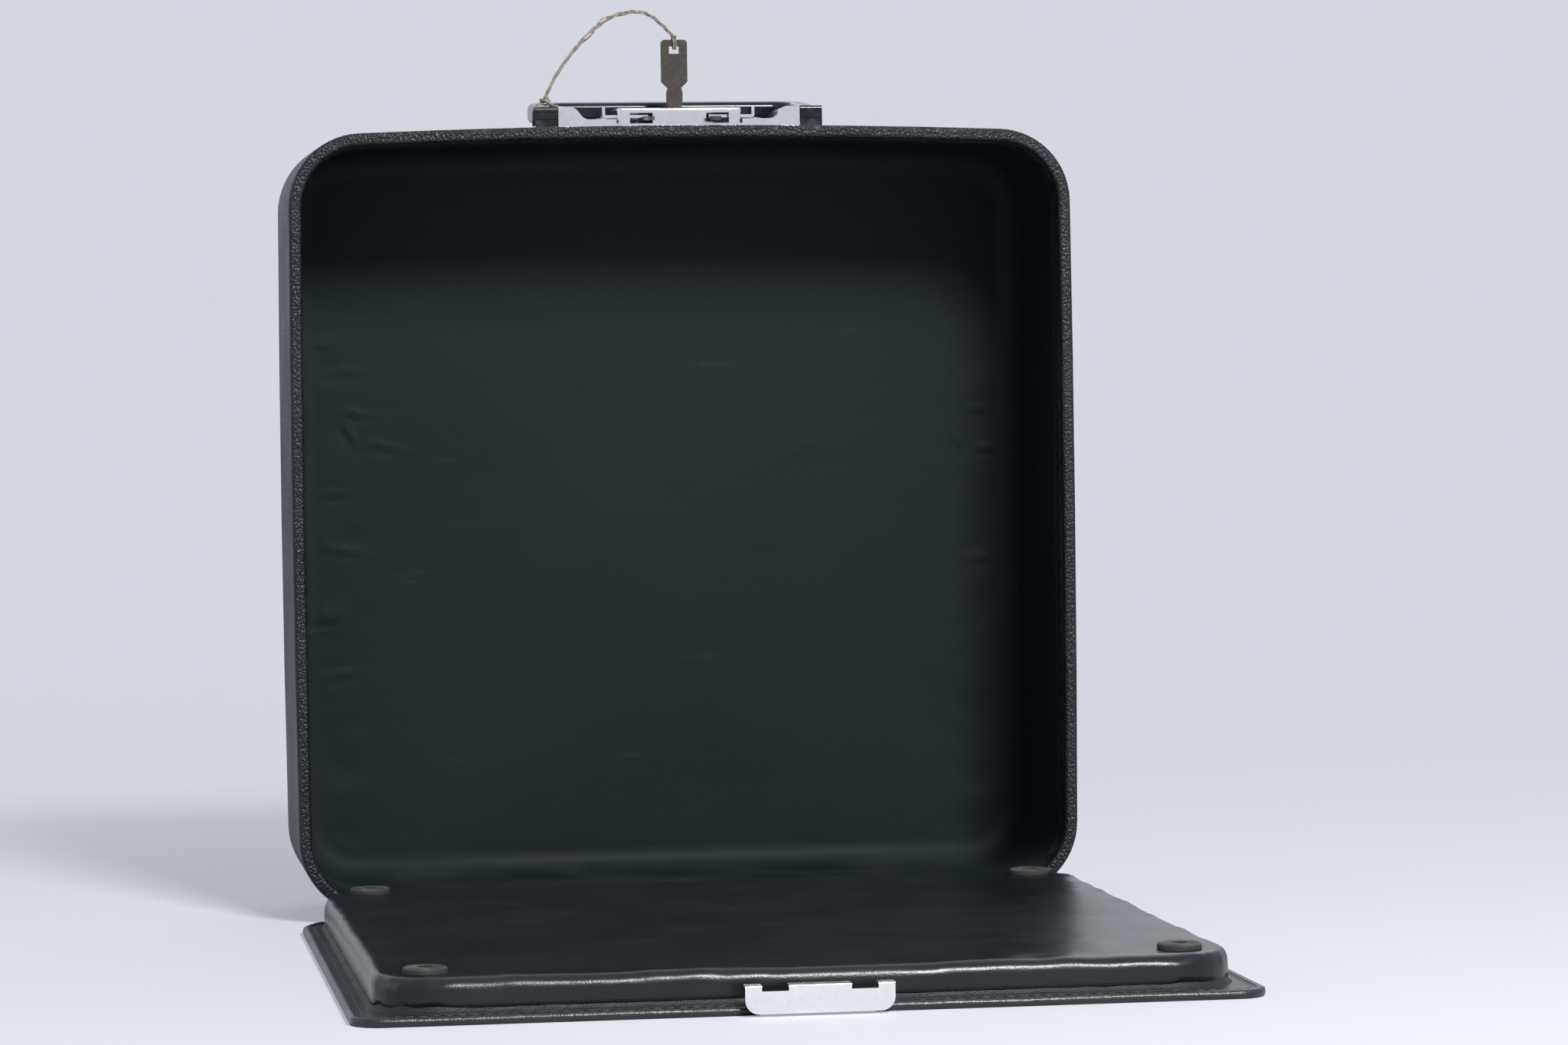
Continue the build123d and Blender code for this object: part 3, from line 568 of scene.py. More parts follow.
def build_mottle():
    """Slow change over the surface, for colour and gloss."""
    group, enter, leave = start_group("mottle", {"Scale": 20.0}, ["Mask"])
    slow = noise_texture(group, enter.outputs["Scale"], 2.0)
    group.links.new(ramp_between(group, slow, 0.3, 0.7), leave.inputs["Mask"])
    return group


effects = {
    "grain": build_grain(),
    "creases": build_creases(),
    "edge_wear": build_edge_wear(),
    "dust": build_dust(),
    "scuffs": build_scuffs(),
    "mottle": build_mottle(),
}
print("effects", list(effects))


# %% Material recipe
def use_effect(tree, name, output, **values):
    """Place a shared effect in a material with its own values."""
    node = tree.nodes.new("ShaderNodeGroup")
    node.node_tree = effects[name]
    for label, value in values.items():
        node.inputs[label].default_value = value
    return node.outputs[output]


def mix_colors(tree, mask, first, second):
    """A colour between two, where each is a socket or a plain colour."""
    node = tree.nodes.new("ShaderNodeMix")
    node.data_type = "RGBA"
    tree.links.new(mask, node.inputs["Factor"])
    for socket, value in ((node.inputs[6], first), (node.inputs[7], second)):
        if isinstance(value, tuple):
            socket.default_value = (*value, 1)
        else:
            tree.links.new(value, socket)
    return node.outputs[2]


finishes = {}


def finish(name, color, second, roughness, metallic=0.0, mottle=25.0, gloss_change=0.08, grain=None,
           creases=None, wear=None, dust=None, scuffs=None, specular=0.5):
    """A material of two base colours and whichever shared effects the real surface has.

    Grain and creases are a scale and a depth in metres. Wear, scuffs and dust are an amount, a
    scale, a colour and how much rougher they make the surface. Scales are per metre.
    """
    material = bpy.data.materials.new(name)
    material.use_nodes = True
    tree = material.node_tree
    shader = tree.nodes["Principled BSDF"]
    shader.inputs["Metallic"].default_value = metallic
    shader.inputs["Specular IOR Level"].default_value = specular
    patches = use_effect(tree, "mottle", "Mask", Scale=mottle)
    surface_color = mix_colors(tree, patches, color, second)
    gloss = calculate(tree, "ADD", calculate(tree, "MULTIPLY", patches, gloss_change), roughness)
    layers = [("edge_wear", wear), ("scuffs", scuffs), ("dust", dust)]
    for effect, setting in layers:
        if setting:
            amount, scale, layer_color, rougher = setting
            mask = use_effect(tree, effect, "Mask", Amount=amount, Scale=scale)
            surface_color = mix_colors(tree, mask, surface_color, layer_color)
            gloss = calculate(tree, "ADD", gloss, calculate(tree, "MULTIPLY", mask, rougher))
    tree.links.new(surface_color, shader.inputs["Base Color"])
    tree.links.new(gloss, shader.inputs["Roughness"])
    normal = None
    for effect, setting in (("creases", creases), ("grain", grain)):
        if setting:
            scale, depth = setting
            bump = tree.nodes.new("ShaderNodeBump")
            bump.inputs["Strength"].default_value = 1.0
            bump.inputs["Distance"].default_value = depth
            tree.links.new(use_effect(tree, effect, "Height", Scale=scale), bump.inputs["Height"])
            if normal:
                tree.links.new(normal, bump.inputs["Normal"])
            normal = bump.outputs["Normal"]
    if normal:
        tree.links.new(normal, shader.inputs["Normal"])
    finishes[name] = material


print("material recipe ready")

# %% [markdown]
# ## The finishes
# The case is nearly black all over, so the materials differ by gloss and relief more than by
# colour: pebbled leathercloth outside and on the rim, smooth lining inside, glossy vinyl on the
# deck. The metal is old chrome with a dull bloom, and the key is worn nickel over brass.

# %% Vinyls and cloth
lint = (0.30, 0.31, 0.31)
finish("leathercloth", (0.006, 0.0085, 0.010), (0.0095, 0.013, 0.0145), 0.36,
       grain=(820.0, 0.00042), creases=(9.0, 0.0008), specular=0.29,
       wear=(0.25, 90.0, (0.045, 0.05, 0.05), 0.15), dust=(0.05, 50.0, lint, 0.2))
finish("deck_vinyl", (0.006, 0.0085, 0.0105), (0.009, 0.012, 0.0145), 0.24,
       grain=(1500.0, 0.00003), creases=(62.0, 0.00032), gloss_change=0.05, specular=0.36,
       wear=(0.2, 160.0, (0.06, 0.06, 0.055), 0.2), dust=(0.012, 45.0, lint, 0.2))
finish("flange_vinyl", (0.008, 0.011, 0.0125), (0.012, 0.016, 0.018), 0.31,
       grain=(1100.0, 0.00008), creases=(50.0, 0.0006),
       wear=(0.10, 140.0, (0.05, 0.05, 0.045), 0.1), dust=(0.04, 90.0, lint, 0.3))
finish("lining", (0.0066, 0.0124, 0.0144), (0.0092, 0.0162, 0.0182), 0.56, mottle=9.0,
       grain=(1900.0, 0.00004), creases=(11.0, 0.0008), specular=0.14,
       scuffs=(0.16, 16.0, (0.045, 0.058, 0.058), 0.1), dust=(0.04, 30.0, lint, 0.2))
finish("hem_cloth", (0.009, 0.012, 0.0135), (0.014, 0.018, 0.020), 0.5, specular=0.3,
       grain=(1300.0, 0.00015), creases=(90.0, 0.0008))
finish("felt", (0.05, 0.05, 0.05), (0.08, 0.08, 0.078), 0.95, grain=(2500.0, 0.0003))
finish("twine_fibre", (0.20, 0.172, 0.138), (0.43, 0.385, 0.32), 0.85, mottle=500.0,
       grain=(3800.0, 0.0002))
finish("thread", (0.022, 0.025, 0.027), (0.055, 0.058, 0.058), 0.45, mottle=300.0)
finish("dark_thread", (0.004, 0.005, 0.0055), (0.010, 0.012, 0.0125), 0.6, mottle=300.0, specular=0.2)
# painted shade: near-black cloth for the scallop tabs inside the rim, standing for the shaded gap between
# the hem tape and the lining
finish("painted_shade_tape", (0.0016, 0.0019, 0.0020), (0.0032, 0.0038, 0.0040), 0.7, mottle=200.0,
       specular=0.06)
print("vinyls and cloth ready")

# %% Metals, plastics and board
bloom = (0.30, 0.29, 0.27)
finish("chrome", (0.82, 0.84, 0.86), (0.79, 0.80, 0.80), 0.11, metallic=1.0, mottle=25.0,
       gloss_change=0.02, scuffs=(0.015, 50.0, bloom, 0.05), wear=(0.08, 420.0, bloom, 0.06))
finish("steel", (0.46, 0.45, 0.43), (0.32, 0.31, 0.29), 0.34, metallic=1.0, mottle=90.0,
       scuffs=(0.3, 80.0, (0.22, 0.17, 0.12), 0.3))
finish("dark_steel", (0.030, 0.030, 0.030), (0.055, 0.05, 0.045), 0.38, metallic=0.6,
       mottle=200.0, wear=(0.5, 300.0, (0.30, 0.29, 0.27), 0.0))
finish("key_metal", (0.056, 0.051, 0.047), (0.047, 0.041, 0.036), 0.36, metallic=1.0,
       mottle=120.0, wear=(0.10, 700.0, (0.20, 0.17, 0.13), -0.05),
       scuffs=(0.03, 120.0, (0.20, 0.17, 0.12), 0.1))
finish("brass", (0.50, 0.40, 0.22), (0.34, 0.26, 0.15), 0.33, metallic=1.0, mottle=150.0)
finish("block_plastic", (0.006, 0.010, 0.012), (0.009, 0.014, 0.016), 0.14, specular=0.34,
       wear=(0.3, 200.0, (0.10, 0.12, 0.12), 0.2), dust=(0.03, 120.0, lint, 0.3))
finish("stud_plastic", (0.015, 0.015, 0.016), (0.03, 0.03, 0.03), 0.5,
       scuffs=(0.5, 120.0, (0.12, 0.12, 0.11), 0.2))
finish("rubber", (0.018, 0.018, 0.018), (0.035, 0.034, 0.032), 0.72, grain=(900.0, 0.00012),
       dust=(0.3, 120.0, lint, 0.2))
finish("board", (0.11, 0.075, 0.048), (0.16, 0.115, 0.075), 0.86, grain=(1400.0, 0.00012),
       mottle=60.0, scuffs=(0.35, 40.0, (0.24, 0.18, 0.12), 0.05))
print("metals, plastics and board ready")

# %% [markdown]
# ## Dressing the pieces that keep their shape
# Rigid pieces already have the right form, so they only get their finish. The record gives each
# one a slot, and most slots are called like their finish. The few that aren't are listed below.

# %% Dress rigid pieces
slot_finish = {
    "liner": "lining",
    "hem_fabric": "hem_cloth",
    "glide_plastic": "stud_plastic",
    "handle_plastic": "block_plastic",
    "twine": "twine_fibre",
}


def dress(piece, finish_name):
    """Give every material slot of a piece the same finish."""
    if not piece.material_slots:
        piece.data.materials.append(finishes[finish_name])
    for material_slot in piece.material_slots:
        material_slot.material = finishes[finish_name]


for subpart in frame["record"]["subparts"]:
    slot = subpart["material_slot"]
    dress(nodes[subpart["node"]], slot_finish.get(slot, slot))
for strand_piece in (twine, knot, loop):
    dress(strand_piece, "twine_fibre")

# %% [markdown]
# ## The padded deck
# The machine stands on a shallow pad: board and felt under one sheet of glossy vinyl, pulled
# tight and tucked in along the bottom. A box with a bevel would look like plastic. A short cloth
# simulation blows the skin up a little and lets it wrinkle, with a limit on how far it may move.
# The skin is then kept close to the pad, and small creases are pressed into its edge, where the
# vinyl is gathered.

# %% Deck form
deck_low, deck_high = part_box("deck_cover")
deck_corner = 25.0 * mm
deck_edge = 4.0 * mm
deck_spacing = 4.0 * mm
# how far in from the side, and how far down from the top, in millimetres
deck_profile = [
    (1.6, 12.4), (0.5, 11.4), (0.2, 9.0), (0.2, 6.0),
    (0.3, 4.0), (1.0, 2.2), (2.2, 1.1), (4.2, 0.5),
]
deck_top_insets = [8, 14, 22, 32, 44, 58, 74, 92, 110, 128, 144]
deck_top_depth = 0.5
# up to this share of the corner's radius a ring keeps its distance from the edge; further in it
# is scaled towards the middle
edge_follow = 0.8
least_ring = 0.01


def inset_ring(low, high, corner, inset, spacing):
    """A rounded outline set in from the edge; every ring has as many points as the outer one."""
    points, normals = rounded_outline(low, high, (corner,) * 4, spacing)
    centre = (Vector(low) + Vector(high)) / 2
    half = (Vector(high) - Vector(low)) / 2
    ring = []
    for point, outward in zip(points, normals):
        if inset < corner * edge_follow:
            ring.append(point - outward * inset)
        else:
            followed = corner * edge_follow
            share = Vector(((half.x - inset) / (half.x - followed), (half.y - inset) / (half.y - followed)))
            inner = point - outward * corner * edge_follow - centre
            shrunk = Vector((inner.x * max(share.x, least_ring), inner.y * max(share.y, least_ring)))
            ring.append(centre + shrunk)
    return ring


def deck_rings():
    """The pad's skin from its tucked-in foot to the middle of its top."""
    rings = []
    levels = deck_profile + [(inset, deck_top_depth) for inset in deck_top_insets]
    for inset, depth in levels:
        ring = inset_ring(deck_low[:2], deck_high[:2], deck_corner, inset * mm, deck_spacing)
        rings.append([Vector((point.x, point.y, deck_high[2] - depth * mm)) for point in ring])
    return rings


deck = add_mesh("deck_pad", *join_rings(deck_rings(), True, True), "base", "deck_vinyl")
dress(deck, "deck_vinyl")
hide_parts("deck_cover")
print("deck points", len(deck.data.vertices))


# %% Soft steps and ripples
def clamp(value, low, high):
    """The value, kept between two limits."""
    return min(max(value, low), high)


def smooth_step(value, low, high):
    """0 below low, 1 above high, smooth between."""
    share = clamp((value - low) / (high - low), 0, 1)
    return share * share * (3 - 2 * share)


def ripple(x, y, scale, seed):
    """Smooth noise between about -1 and 1 over a plane; each seed is another pattern."""
    return noise.noise(Vector((x * scale, y * scale, seed)))


print("soft steps and ripples ready")

# %% Tucked-in foot
# how far out from the pad and how high above the flange, in millimetres
tuck_section = [(-1.2, 3.0), (-0.6, 2.2), (0.0, 1.1), (0.6, 0.35), (1.3, 0.06), (1.3, -0.2), (-1.2, -0.2)]
# how far the foot fans out at the corners, outside and inside the pad's edge
outer_fan = 0.9
inner_fan = 0.3


def tuck_rings():
    """The vinyl's tucked-in foot: a narrow puckered band that closes the gap to the flange."""
    points, normals = rounded_outline(deck_low[:2], deck_high[:2], (deck_corner,) * 4, 2.5 * mm)
    rings = []
    for outset, height in tuck_section:
        ring = []
        for point, outward in zip(points, normals):
            pucker = ripple(point.x, point.y, 130, 4.0) * 0.35
            fan = smooth_step(min(abs(outward.x), abs(outward.y)), 0.25, 0.7) * (1 + 2.0 * pucker)
            spread = outset + fan * (outer_fan if outset >= 0 else inner_fan)
            rise = height + max(pucker, 0) * 0.5
            if height > 0:
                spread += pucker
                rise *= 1 + 0.35 * fan
            place = point + outward * spread * mm
            ring.append(Vector((place.x, place.y, deck_low[2] + rise * mm)))
        rings.append(ring)
    return rings + [rings[0]]


deck_tuck = add_mesh("deck_tuck", *join_rings(tuck_rings()), "base", "deck_vinyl")
dress(deck_tuck, "hem_cloth")
print("foot points", len(deck_tuck.data.vertices))


# %% How the skin swells
skin_voxel = 3.5 * mm
skin_cap = 1.1 * mm
skin_pressure = 4
skin_frames = 20


def swell(piece, voxel, cap):
    """Remesh, blow the skin up as cloth, and keep each point within cap of where it was."""
    bpy.context.view_layer.objects.active = piece
    remesh = piece.modifiers.new("remesh", "REMESH")
    remesh.mode = "VOXEL"
    remesh.voxel_size = voxel
    bpy.ops.object.modifier_apply(modifier="remesh")
    before = [vertex.co.copy() for vertex in piece.data.vertices]
    cloth = piece.modifiers.new("cloth", "CLOTH")
    cloth.settings.use_pressure = True
    cloth.settings.uniform_pressure_force = skin_pressure
    cloth.settings.effector_weights.gravity = 0
    cloth.point_cache.frame_start = 1
    cloth.point_cache.frame_end = skin_frames
    for number in range(1, skin_frames + 1):
        bpy.context.scene.frame_set(number)
    graph = bpy.context.evaluated_depsgraph_get()
    after = [vertex.co.copy() for vertex in piece.evaluated_get(graph).data.vertices]
    piece.modifiers.remove(cloth)
    bpy.context.scene.frame_set(1)
    for vertex, start, end in zip(piece.data.vertices, before, after):
        move = end - start
        if move.length > cap:
            move = move.normalized() * cap
        vertex.co = start + move
    piece.data.update()


print("skin voxel mm", round(skin_voxel / mm, 1))

# %% Swell the skin and keep it close to the pad
# closer than this to the pad's core a point has no clear way out, so it stays
core_skip = 0.6 * mm
# how far the skin may stand inside the pad's surface and off its side, and how much more on top
skin_inside = 0.10 * mm
side_swelling = 0.15
added_top_swelling = 0.65


def hold_round_pad(piece):
    """Keep the swollen skin close round the pad: never inside it, and never far off it."""
    core_half = Vector((deck_high[0] - deck_corner, deck_high[1] - deck_corner))
    core_corner = deck_corner - deck_edge
    core_top = deck_high[2] - deck_edge
    for vertex in piece.data.vertices:
        place = vertex.co
        flat_x = clamp(place.x, -core_half.x, core_half.x)
        flat = Vector((flat_x, clamp(place.y, -core_half.y, core_half.y)))
        away = place.xy - flat
        if away.length > core_corner:
            away = away.normalized() * core_corner
        core = Vector((flat.x + away.x, flat.y + away.y, min(place.z, core_top)))
        reach = place - core
        if reach.length < core_skip:
            continue
        facing_up = max(reach.normalized().z, 0)
        most = (side_swelling + added_top_swelling * facing_up) * mm
        swelling = clamp(reach.length - deck_edge, -skin_inside, most)
        vertex.co = core + reach.normalized() * (deck_edge + swelling)
    piece.data.update()


swell(deck, skin_voxel, skin_cap)
hold_round_pad(deck)
print("deck top mm", round(max(vertex.co.z for vertex in deck.data.vertices) / mm, 1))

# %% Gathers, creases and seats
# the gathered band along the edge, and the dip in its front where the latch plate stands
gather_band = 14 * mm
gather_fade = 10 * mm
front_dip = 0.5 * mm
dip_middle = 2 * mm
dip_width = 26 * mm
dip_reach = 22 * mm
# a foot pad's middle lies its radius in from their box, and round each pad the skin is held flat
pad_radius = 8 * mm
seat_flat = 10 * mm
seat_blend = 20 * mm
seat_depth = 0.1 * mm
# noise scales, per metre, of the gathers, the slow unevenness and the fine creases
gather_scale = 75
slow_scale = 22
fine_scale = 150
# how far the skin may lie below the pad's own round edge
skin_sink = 0.30 * mm


def pad_seats():
    """The middles of the four round foot pads."""
    pad_low, pad_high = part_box("machine_foot_pads")
    corners = [Vector((x, y)) for x in (pad_low[0], pad_high[0]) for y in (pad_low[1], pad_high[1])]
    inward = [Vector((math.copysign(pad_radius, corner.x), math.copysign(pad_radius, corner.y)))
              for corner in corners]
    return [corner - step for corner, step in zip(corners, inward)]


def lowest_skin(place):
    """How low the skin may lie at a place, so that it never sinks into the felt under it."""
    core_x = max(abs(place.x) - (deck_high[0] - deck_corner), 0)
    core_y = max(abs(place.y) - (deck_high[1] - deck_corner), 0)
    past_core = math.hypot(core_x, core_y) - (deck_corner - deck_edge)
    overhang = min(max(past_core, 0) / deck_edge, 1)
    round_top = deck_high[2] - deck_edge * (1 - math.sqrt(1 - overhang * overhang))
    on_top = place.z > deck_high[2] - 3 * mm and overhang < 0.9
    return round_top - skin_sink if on_top else deck_low[2]


def crease_deck(piece):
    """Gathers along the edge, light creases on the top, and flat seats for the foot pads."""
    seats = pad_seats()
    for vertex in piece.data.vertices:
        place = vertex.co
        edge = max(abs(place.x) - (deck_high[0] - gather_band), abs(place.y) - (deck_high[1] - gather_band))
        near_edge = smooth_step(edge, 0, gather_fade)
        gather = ripple(place.x, place.y, gather_scale, 3.1 + place.z * 30)
        slow = ripple(place.x, place.y, slow_scale, 7.7)
        fine = ripple(place.x, place.y, fine_scale, 5.3)
        lift = near_edge * (0.6 * gather + 0.7 * slow + 0.3 * fine) + (1 - near_edge) * 0.25 * slow
        height = smooth_step(place.z, deck_low[2] + 2 * mm, deck_high[2] - 2 * mm)
        place.z += lift * height * mm
        sideways = near_edge * min(gather, 0.1) * 0.4 * mm * (1 - 0.5 * height)
        place.x += math.copysign(sideways, place.x)
        place.y += math.copysign(sideways, place.y)
        front = math.exp(-((place.x - dip_middle) / dip_width) ** 2)
        front *= smooth_step(-place.y, deck_high[1] - dip_reach, deck_high[1])
        place.z -= front_dip * front * height
        for seat in seats:
            flat = 1 - smooth_step((place.xy - seat).length, seat_flat, seat_blend)
            if place.z > deck_high[2] - 1.2 * mm:
                place.z += (deck_high[2] - seat_depth - place.z) * flat
        place.z = max(place.z, lowest_skin(place))
    piece.data.update()


crease_deck(deck)
deck_finer = deck.modifiers.new("finer", "SUBSURF")
deck_finer.levels = 1
deck_finer.render_levels = 1
for face in deck.data.polygons:
    face.use_smooth = True
print("deck points", len(deck.data.vertices))

# %% [markdown]
# ## Binding and stitches on the flange
# The flange's edge is bound with a folded strip of the same vinyl, sewn down with a row of grey
# stitches a few millimetres in. Stitches made as small raised pieces catch the light one by
# one, which a printed line would not.

# %% Flange binding
flange_low, flange_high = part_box("flange_cover")
flange_front_corner = 11.0 * mm
flange_rear_corner = 32.0 * mm
flange_radii = (flange_front_corner, flange_rear_corner, flange_rear_corner, flange_front_corner)
striker_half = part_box("striker_plate")[1][0]
# the strip's section: how far in from the edge and how high, in millimetres
binding_section = [
    (3.1, 2.95), (2.9, 3.2), (1.0, 3.22), (-0.2, 2.75), (-0.45, 1.6),
    (-0.2, 0.5), (0.4, 0.05), (0.8, 0.6), (0.8, 2.6),
]
# the strip starts under the striker and stops before the end of the rear corner
start_share = 0.78
rear_share = 0.35
front_zone = 12 * mm


def flange_run(side):
    """Points and normals of the flange's edge from the striker round to the rear corner."""
    points, normals = rounded_outline(flange_low[:2], flange_high[:2], flange_radii, 1.5 * mm)
    rear_end = flange_high[1] - flange_rear_corner * rear_share
    run = [(point, outward) for point, outward in zip(points, normals)
           if point.x * side > striker_half * start_share and point.y < rear_end]

    def way_along(item):
        """Grows along the front first, then along the side and round the rear corner."""
        point = item[0]
        if point.y > flange_low[1] + front_zone:
            return point.y + point.x * side * -0.2
        return point.x * side - 1

    return sorted(run, key=way_along)


def binding_mesh(side):
    """The folded strip along one half of the edge, a little uneven."""
    rings = []
    for point, outward in flange_run(side):
        wave = ripple(point.x, point.y, 60, side) * 0.18
        ring = []
        for inset, height in binding_section:
            place = point - outward * (inset + wave) * mm
            ring.append(Vector((place.x, place.y, min((height + wave * 0.6), 3.25) * mm)))
        rings.append([Vector((place.x, place.y, max(place.z, 0.02 * mm))) for place in ring])
    return join_rings(rings, True, True)


binding_halves = [binding_mesh(-1), binding_mesh(1)]
binding = add_mesh("flange_binding", *merge_parts(binding_halves), "base", "flange_vinyl")
dress(binding, "flange_vinyl")
print("binding points", len(binding.data.vertices))


# %% Flange stitches
stitch_spacing = 3.4 * mm
stitch_inset = 4.3 * mm
stitch_radius = 0.22 * mm
stitch_sink = 0.10 * mm


def stitch(start, end, radius):
    """One stitch: a short thread that dips into the cloth at both ends."""
    steps = 5
    path = []
    for step in range(steps + 1):
        share = step / steps
        lift = math.sin(math.pi * share) * radius * 0.5
        path.append(start.lerp(end, share) + Vector((0, 0, lift)))
    return tube_mesh(path, radius, 6)


def flange_stitches(side):
    """A row of stitches beside the binding."""
    parts = []
    travelled = 0
    previous = None
    start = None
    for point, outward in flange_run(side):
        inner = point - outward * stitch_inset
        place = Vector((inner.x, inner.y, flange_high[2] - stitch_sink))
        if previous:
            travelled += (place - previous).length
        previous = place
        if start is None and travelled > stitch_spacing * 0.3:
            start = place
            travelled = 0
        elif start and travelled >= stitch_spacing * 0.7:
            parts.append(stitch(start, place, stitch_radius))
            start = None
            travelled = 0
    return parts


flange_parts = flange_stitches(-1) + flange_stitches(1)
seam = add_mesh("flange_stitches", *merge_parts(flange_parts), "base", "flange_vinyl")
dress(seam, "thread")
print("flange stitches", len(flange_parts))

# %% [markdown]
# ## The lining of the lid
# Inside, the lid is lined with smooth black cloth, glued to the shell. It is flat in the middle
# and uneven near the walls: gathers stand in a row down the left side, and a few puckers show on
# the right. One skin runs from the rim, over the rounded back edge and across the panel, and
# noise and waves push its points in and out by about a millimetre.

# %% Lining values
liner_low, liner_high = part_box("lid_liner")
lid_low, lid_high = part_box("lid_cover")
front_bow = 3.5 * mm
lid_corner = 30.0 * mm
wall_stack = 4.7 * mm
lining_corner = lid_corner - wall_stack
lining_round = 10.5 * mm
lining_edge_spacing = 1.9 * mm
gather_pitch = 10.5 * mm
# pinches in the panel's cloth: x and z of the middle, half length, half width, height, tilt
# in millimetres and degrees
panel_pinches = [
    (-133.5, 223.5, 7.0, 0.9, 0.55, 2), (-128.5, 205.5, 6.5, 0.9, 0.60, -6),
    (-143.5, 235.0, 6.0, 1.0, 0.60, 3), (-131.0, 197.0, 5.5, 1.2, 0.45, -60),
    (-117.0, 192.0, 8.0, 1.4, 0.35, -12), (-139.0, 172.0, 6.0, 1.1, 0.45, 5),
    (-134.0, 148.0, 8.0, 1.2, 0.40, -8), (-141.0, 120.0, 6.0, 1.0, 0.45, 4),
    (-136.0, 96.0, 7.0, 1.2, 0.40, 10), (137.5, 203.5, 3.6, 0.9, 0.70, 4),
    (141.0, 187.0, 3.4, 0.8, 0.75, -4), (142.5, 176.5, 2.8, 0.8, 0.55, 6),
    (129.5, 189.5, 4.0, 0.9, 0.45, -48), (138.0, 140.0, 5.0, 1.1, 0.45, 8),
    (-78.5, 187.0, 3.0, 0.8, 0.30, 84), (60.0, 187.5, 3.2, 0.9, 0.35, 80),
    (20.0, 96.0, 4.0, 1.2, 0.25, 30), (-40.0, 262.0, 9.0, 1.6, 0.25, 4),
]
pinch_strength = 1.5
# further than this from its middle, in millimetres, a pinch is not felt
pinch_reach = 14
outline_low = Vector((lid_low[0] + wall_stack, lid_low[2] + wall_stack))
outline_high = Vector((lid_high[0] - wall_stack, lid_high[2] - wall_stack))
print("pinches", len(panel_pinches))


# %% Lining rings
def bowed(point):
    """Lower the top of the outline towards the corners, as the lid's front wall is bowed."""
    share = point.x / outline_high.x
    upper = smooth_step(point.y, 0, outline_high.y)
    return Vector((point.x, point.y - front_bow * share * share * upper))


def lining_levels():
    """How far in from the wall and how deep each ring lies."""
    start_y = liner_low[1] - 0.5 * mm
    back_y = liner_high[1] - 0.9 * mm
    wall_steps = 20
    wall_end = back_y - lining_round
    wall_depth = wall_end - start_y
    levels = [(0.0, start_y + wall_depth * step / wall_steps) for step in range(wall_steps + 1)]
    for step in range(1, 7):
        angle = math.radians(15 * step)
        levels.append((lining_round * (1 - math.cos(angle)), wall_end + lining_round * math.sin(angle)))
    edge_rings = 17
    middle_rings = 24
    edge_end = lining_round + 27 * mm
    middle = outline_high.x - 2 * mm
    for step in range(1, edge_rings + 1):
        levels.append((lining_round + (edge_end - lining_round) * step / edge_rings, back_y))
    for step in range(1, middle_rings + 1):
        levels.append((edge_end + (middle - edge_end) * step / middle_rings, back_y))
    return levels


print("lining rings", len(lining_levels()))


# %% Lining skin
# the unevenness all over, the gathers on the left and the puckers on the right: heights in
# millimetres, scales per metre, places and widths in metres
rough_scale = 26
rough_height = 0.35
gather_height = 0.5
pucker_height = 1.1
pucker_z = 0.2
pucker_width = 0.022
edge_gather_height = 0.9
edge_gather_x = 0.138
edge_gather_width = 0.012


def pinch_height(place):
    """How far the listed pinches raise the panel at a point, in millimetres."""
    height = 0
    for x, z, half_length, half_width, rise, tilt in panel_pinches:
        away_x = place.x / mm - x
        away_z = place.z / mm - z
        if abs(away_x) > pinch_reach or abs(away_z) > pinch_reach:
            continue
        angle = math.radians(tilt)
        along = away_x * math.cos(angle) + away_z * math.sin(angle)
        across = away_z * math.cos(angle) - away_x * math.sin(angle)
        ridge = math.exp(-(across / half_width) ** 2)
        ridge -= 0.45 * math.exp(-((across + 2 * half_width) / half_width) ** 2)
        height += pinch_strength * rise * ridge * math.exp(-(along / half_length) ** 2)
    return height


def lining_place(flat, outward, depth, inset):
    """A point of the lining, with its wrinkles."""
    place = Vector((flat.x, depth, flat.y))
    left = smooth_step(-outward.x, 0.75, 0.95)
    right = smooth_step(outward.x, 0.75, 0.95)
    from_rim = depth - liner_low[1]
    rough = noise.fractal(place * rough_scale, 0.8, 2.1, 4) * rough_height
    gathers = math.sin(2 * math.pi * place.z / gather_pitch + 1.3 * noise.noise(place * 60))
    gathers *= gather_height * left * (1 - smooth_step(from_rim, 4 * mm, 60 * mm))
    pucker = noise.noise(Vector((place.y * 40, place.z * 140, 2.0)))
    pucker *= pucker_height * right * math.exp(-((place.z - pucker_z) / pucker_width) ** 2)
    back = smooth_step(inset, 4 * mm, 14 * mm)
    panel_gather = noise.noise(Vector((place.x * 55, place.z * 95, 5.0)))
    beside_edge = math.exp(-((abs(place.x) - edge_gather_x) / edge_gather_width) ** 2)
    panel_gather *= edge_gather_height * back * beside_edge
    lift = (max(rough, -0.2) + gathers + pucker) * mm * (1 - back)
    inward = Vector((-outward.x, 0, -outward.y))
    place += inward * lift
    place.y -= back * (max(rough, -0.1) * 0.5 + panel_gather * 0.6 + pinch_height(place) + 0.25) * mm
    return place


def lining_rings():
    """Every ring of the lining from the rim to the middle of the panel."""
    corners = (lining_corner,) * 4
    normals = rounded_outline(outline_low, outline_high, corners, lining_edge_spacing)[1]
    rings = []
    for inset, depth in lining_levels():
        ring_points = inset_ring(outline_low, outline_high, lining_corner, inset, lining_edge_spacing)
        rings.append([lining_place(bowed(flat), outward, depth, inset)
                      for flat, outward in zip(ring_points, normals)])
    return rings


liner_skin = add_mesh("lining_skin", *join_rings(lining_rings(), False, True), "lid", "liner")
dress(liner_skin, "lining")
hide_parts("lid_liner")
liner_thickness = liner_skin.modifiers.new("thickness", "SOLIDIFY")
liner_thickness.thickness = 0.45 * mm
liner_thickness.offset = 1.0
print("lining points", len(liner_skin.data.vertices))
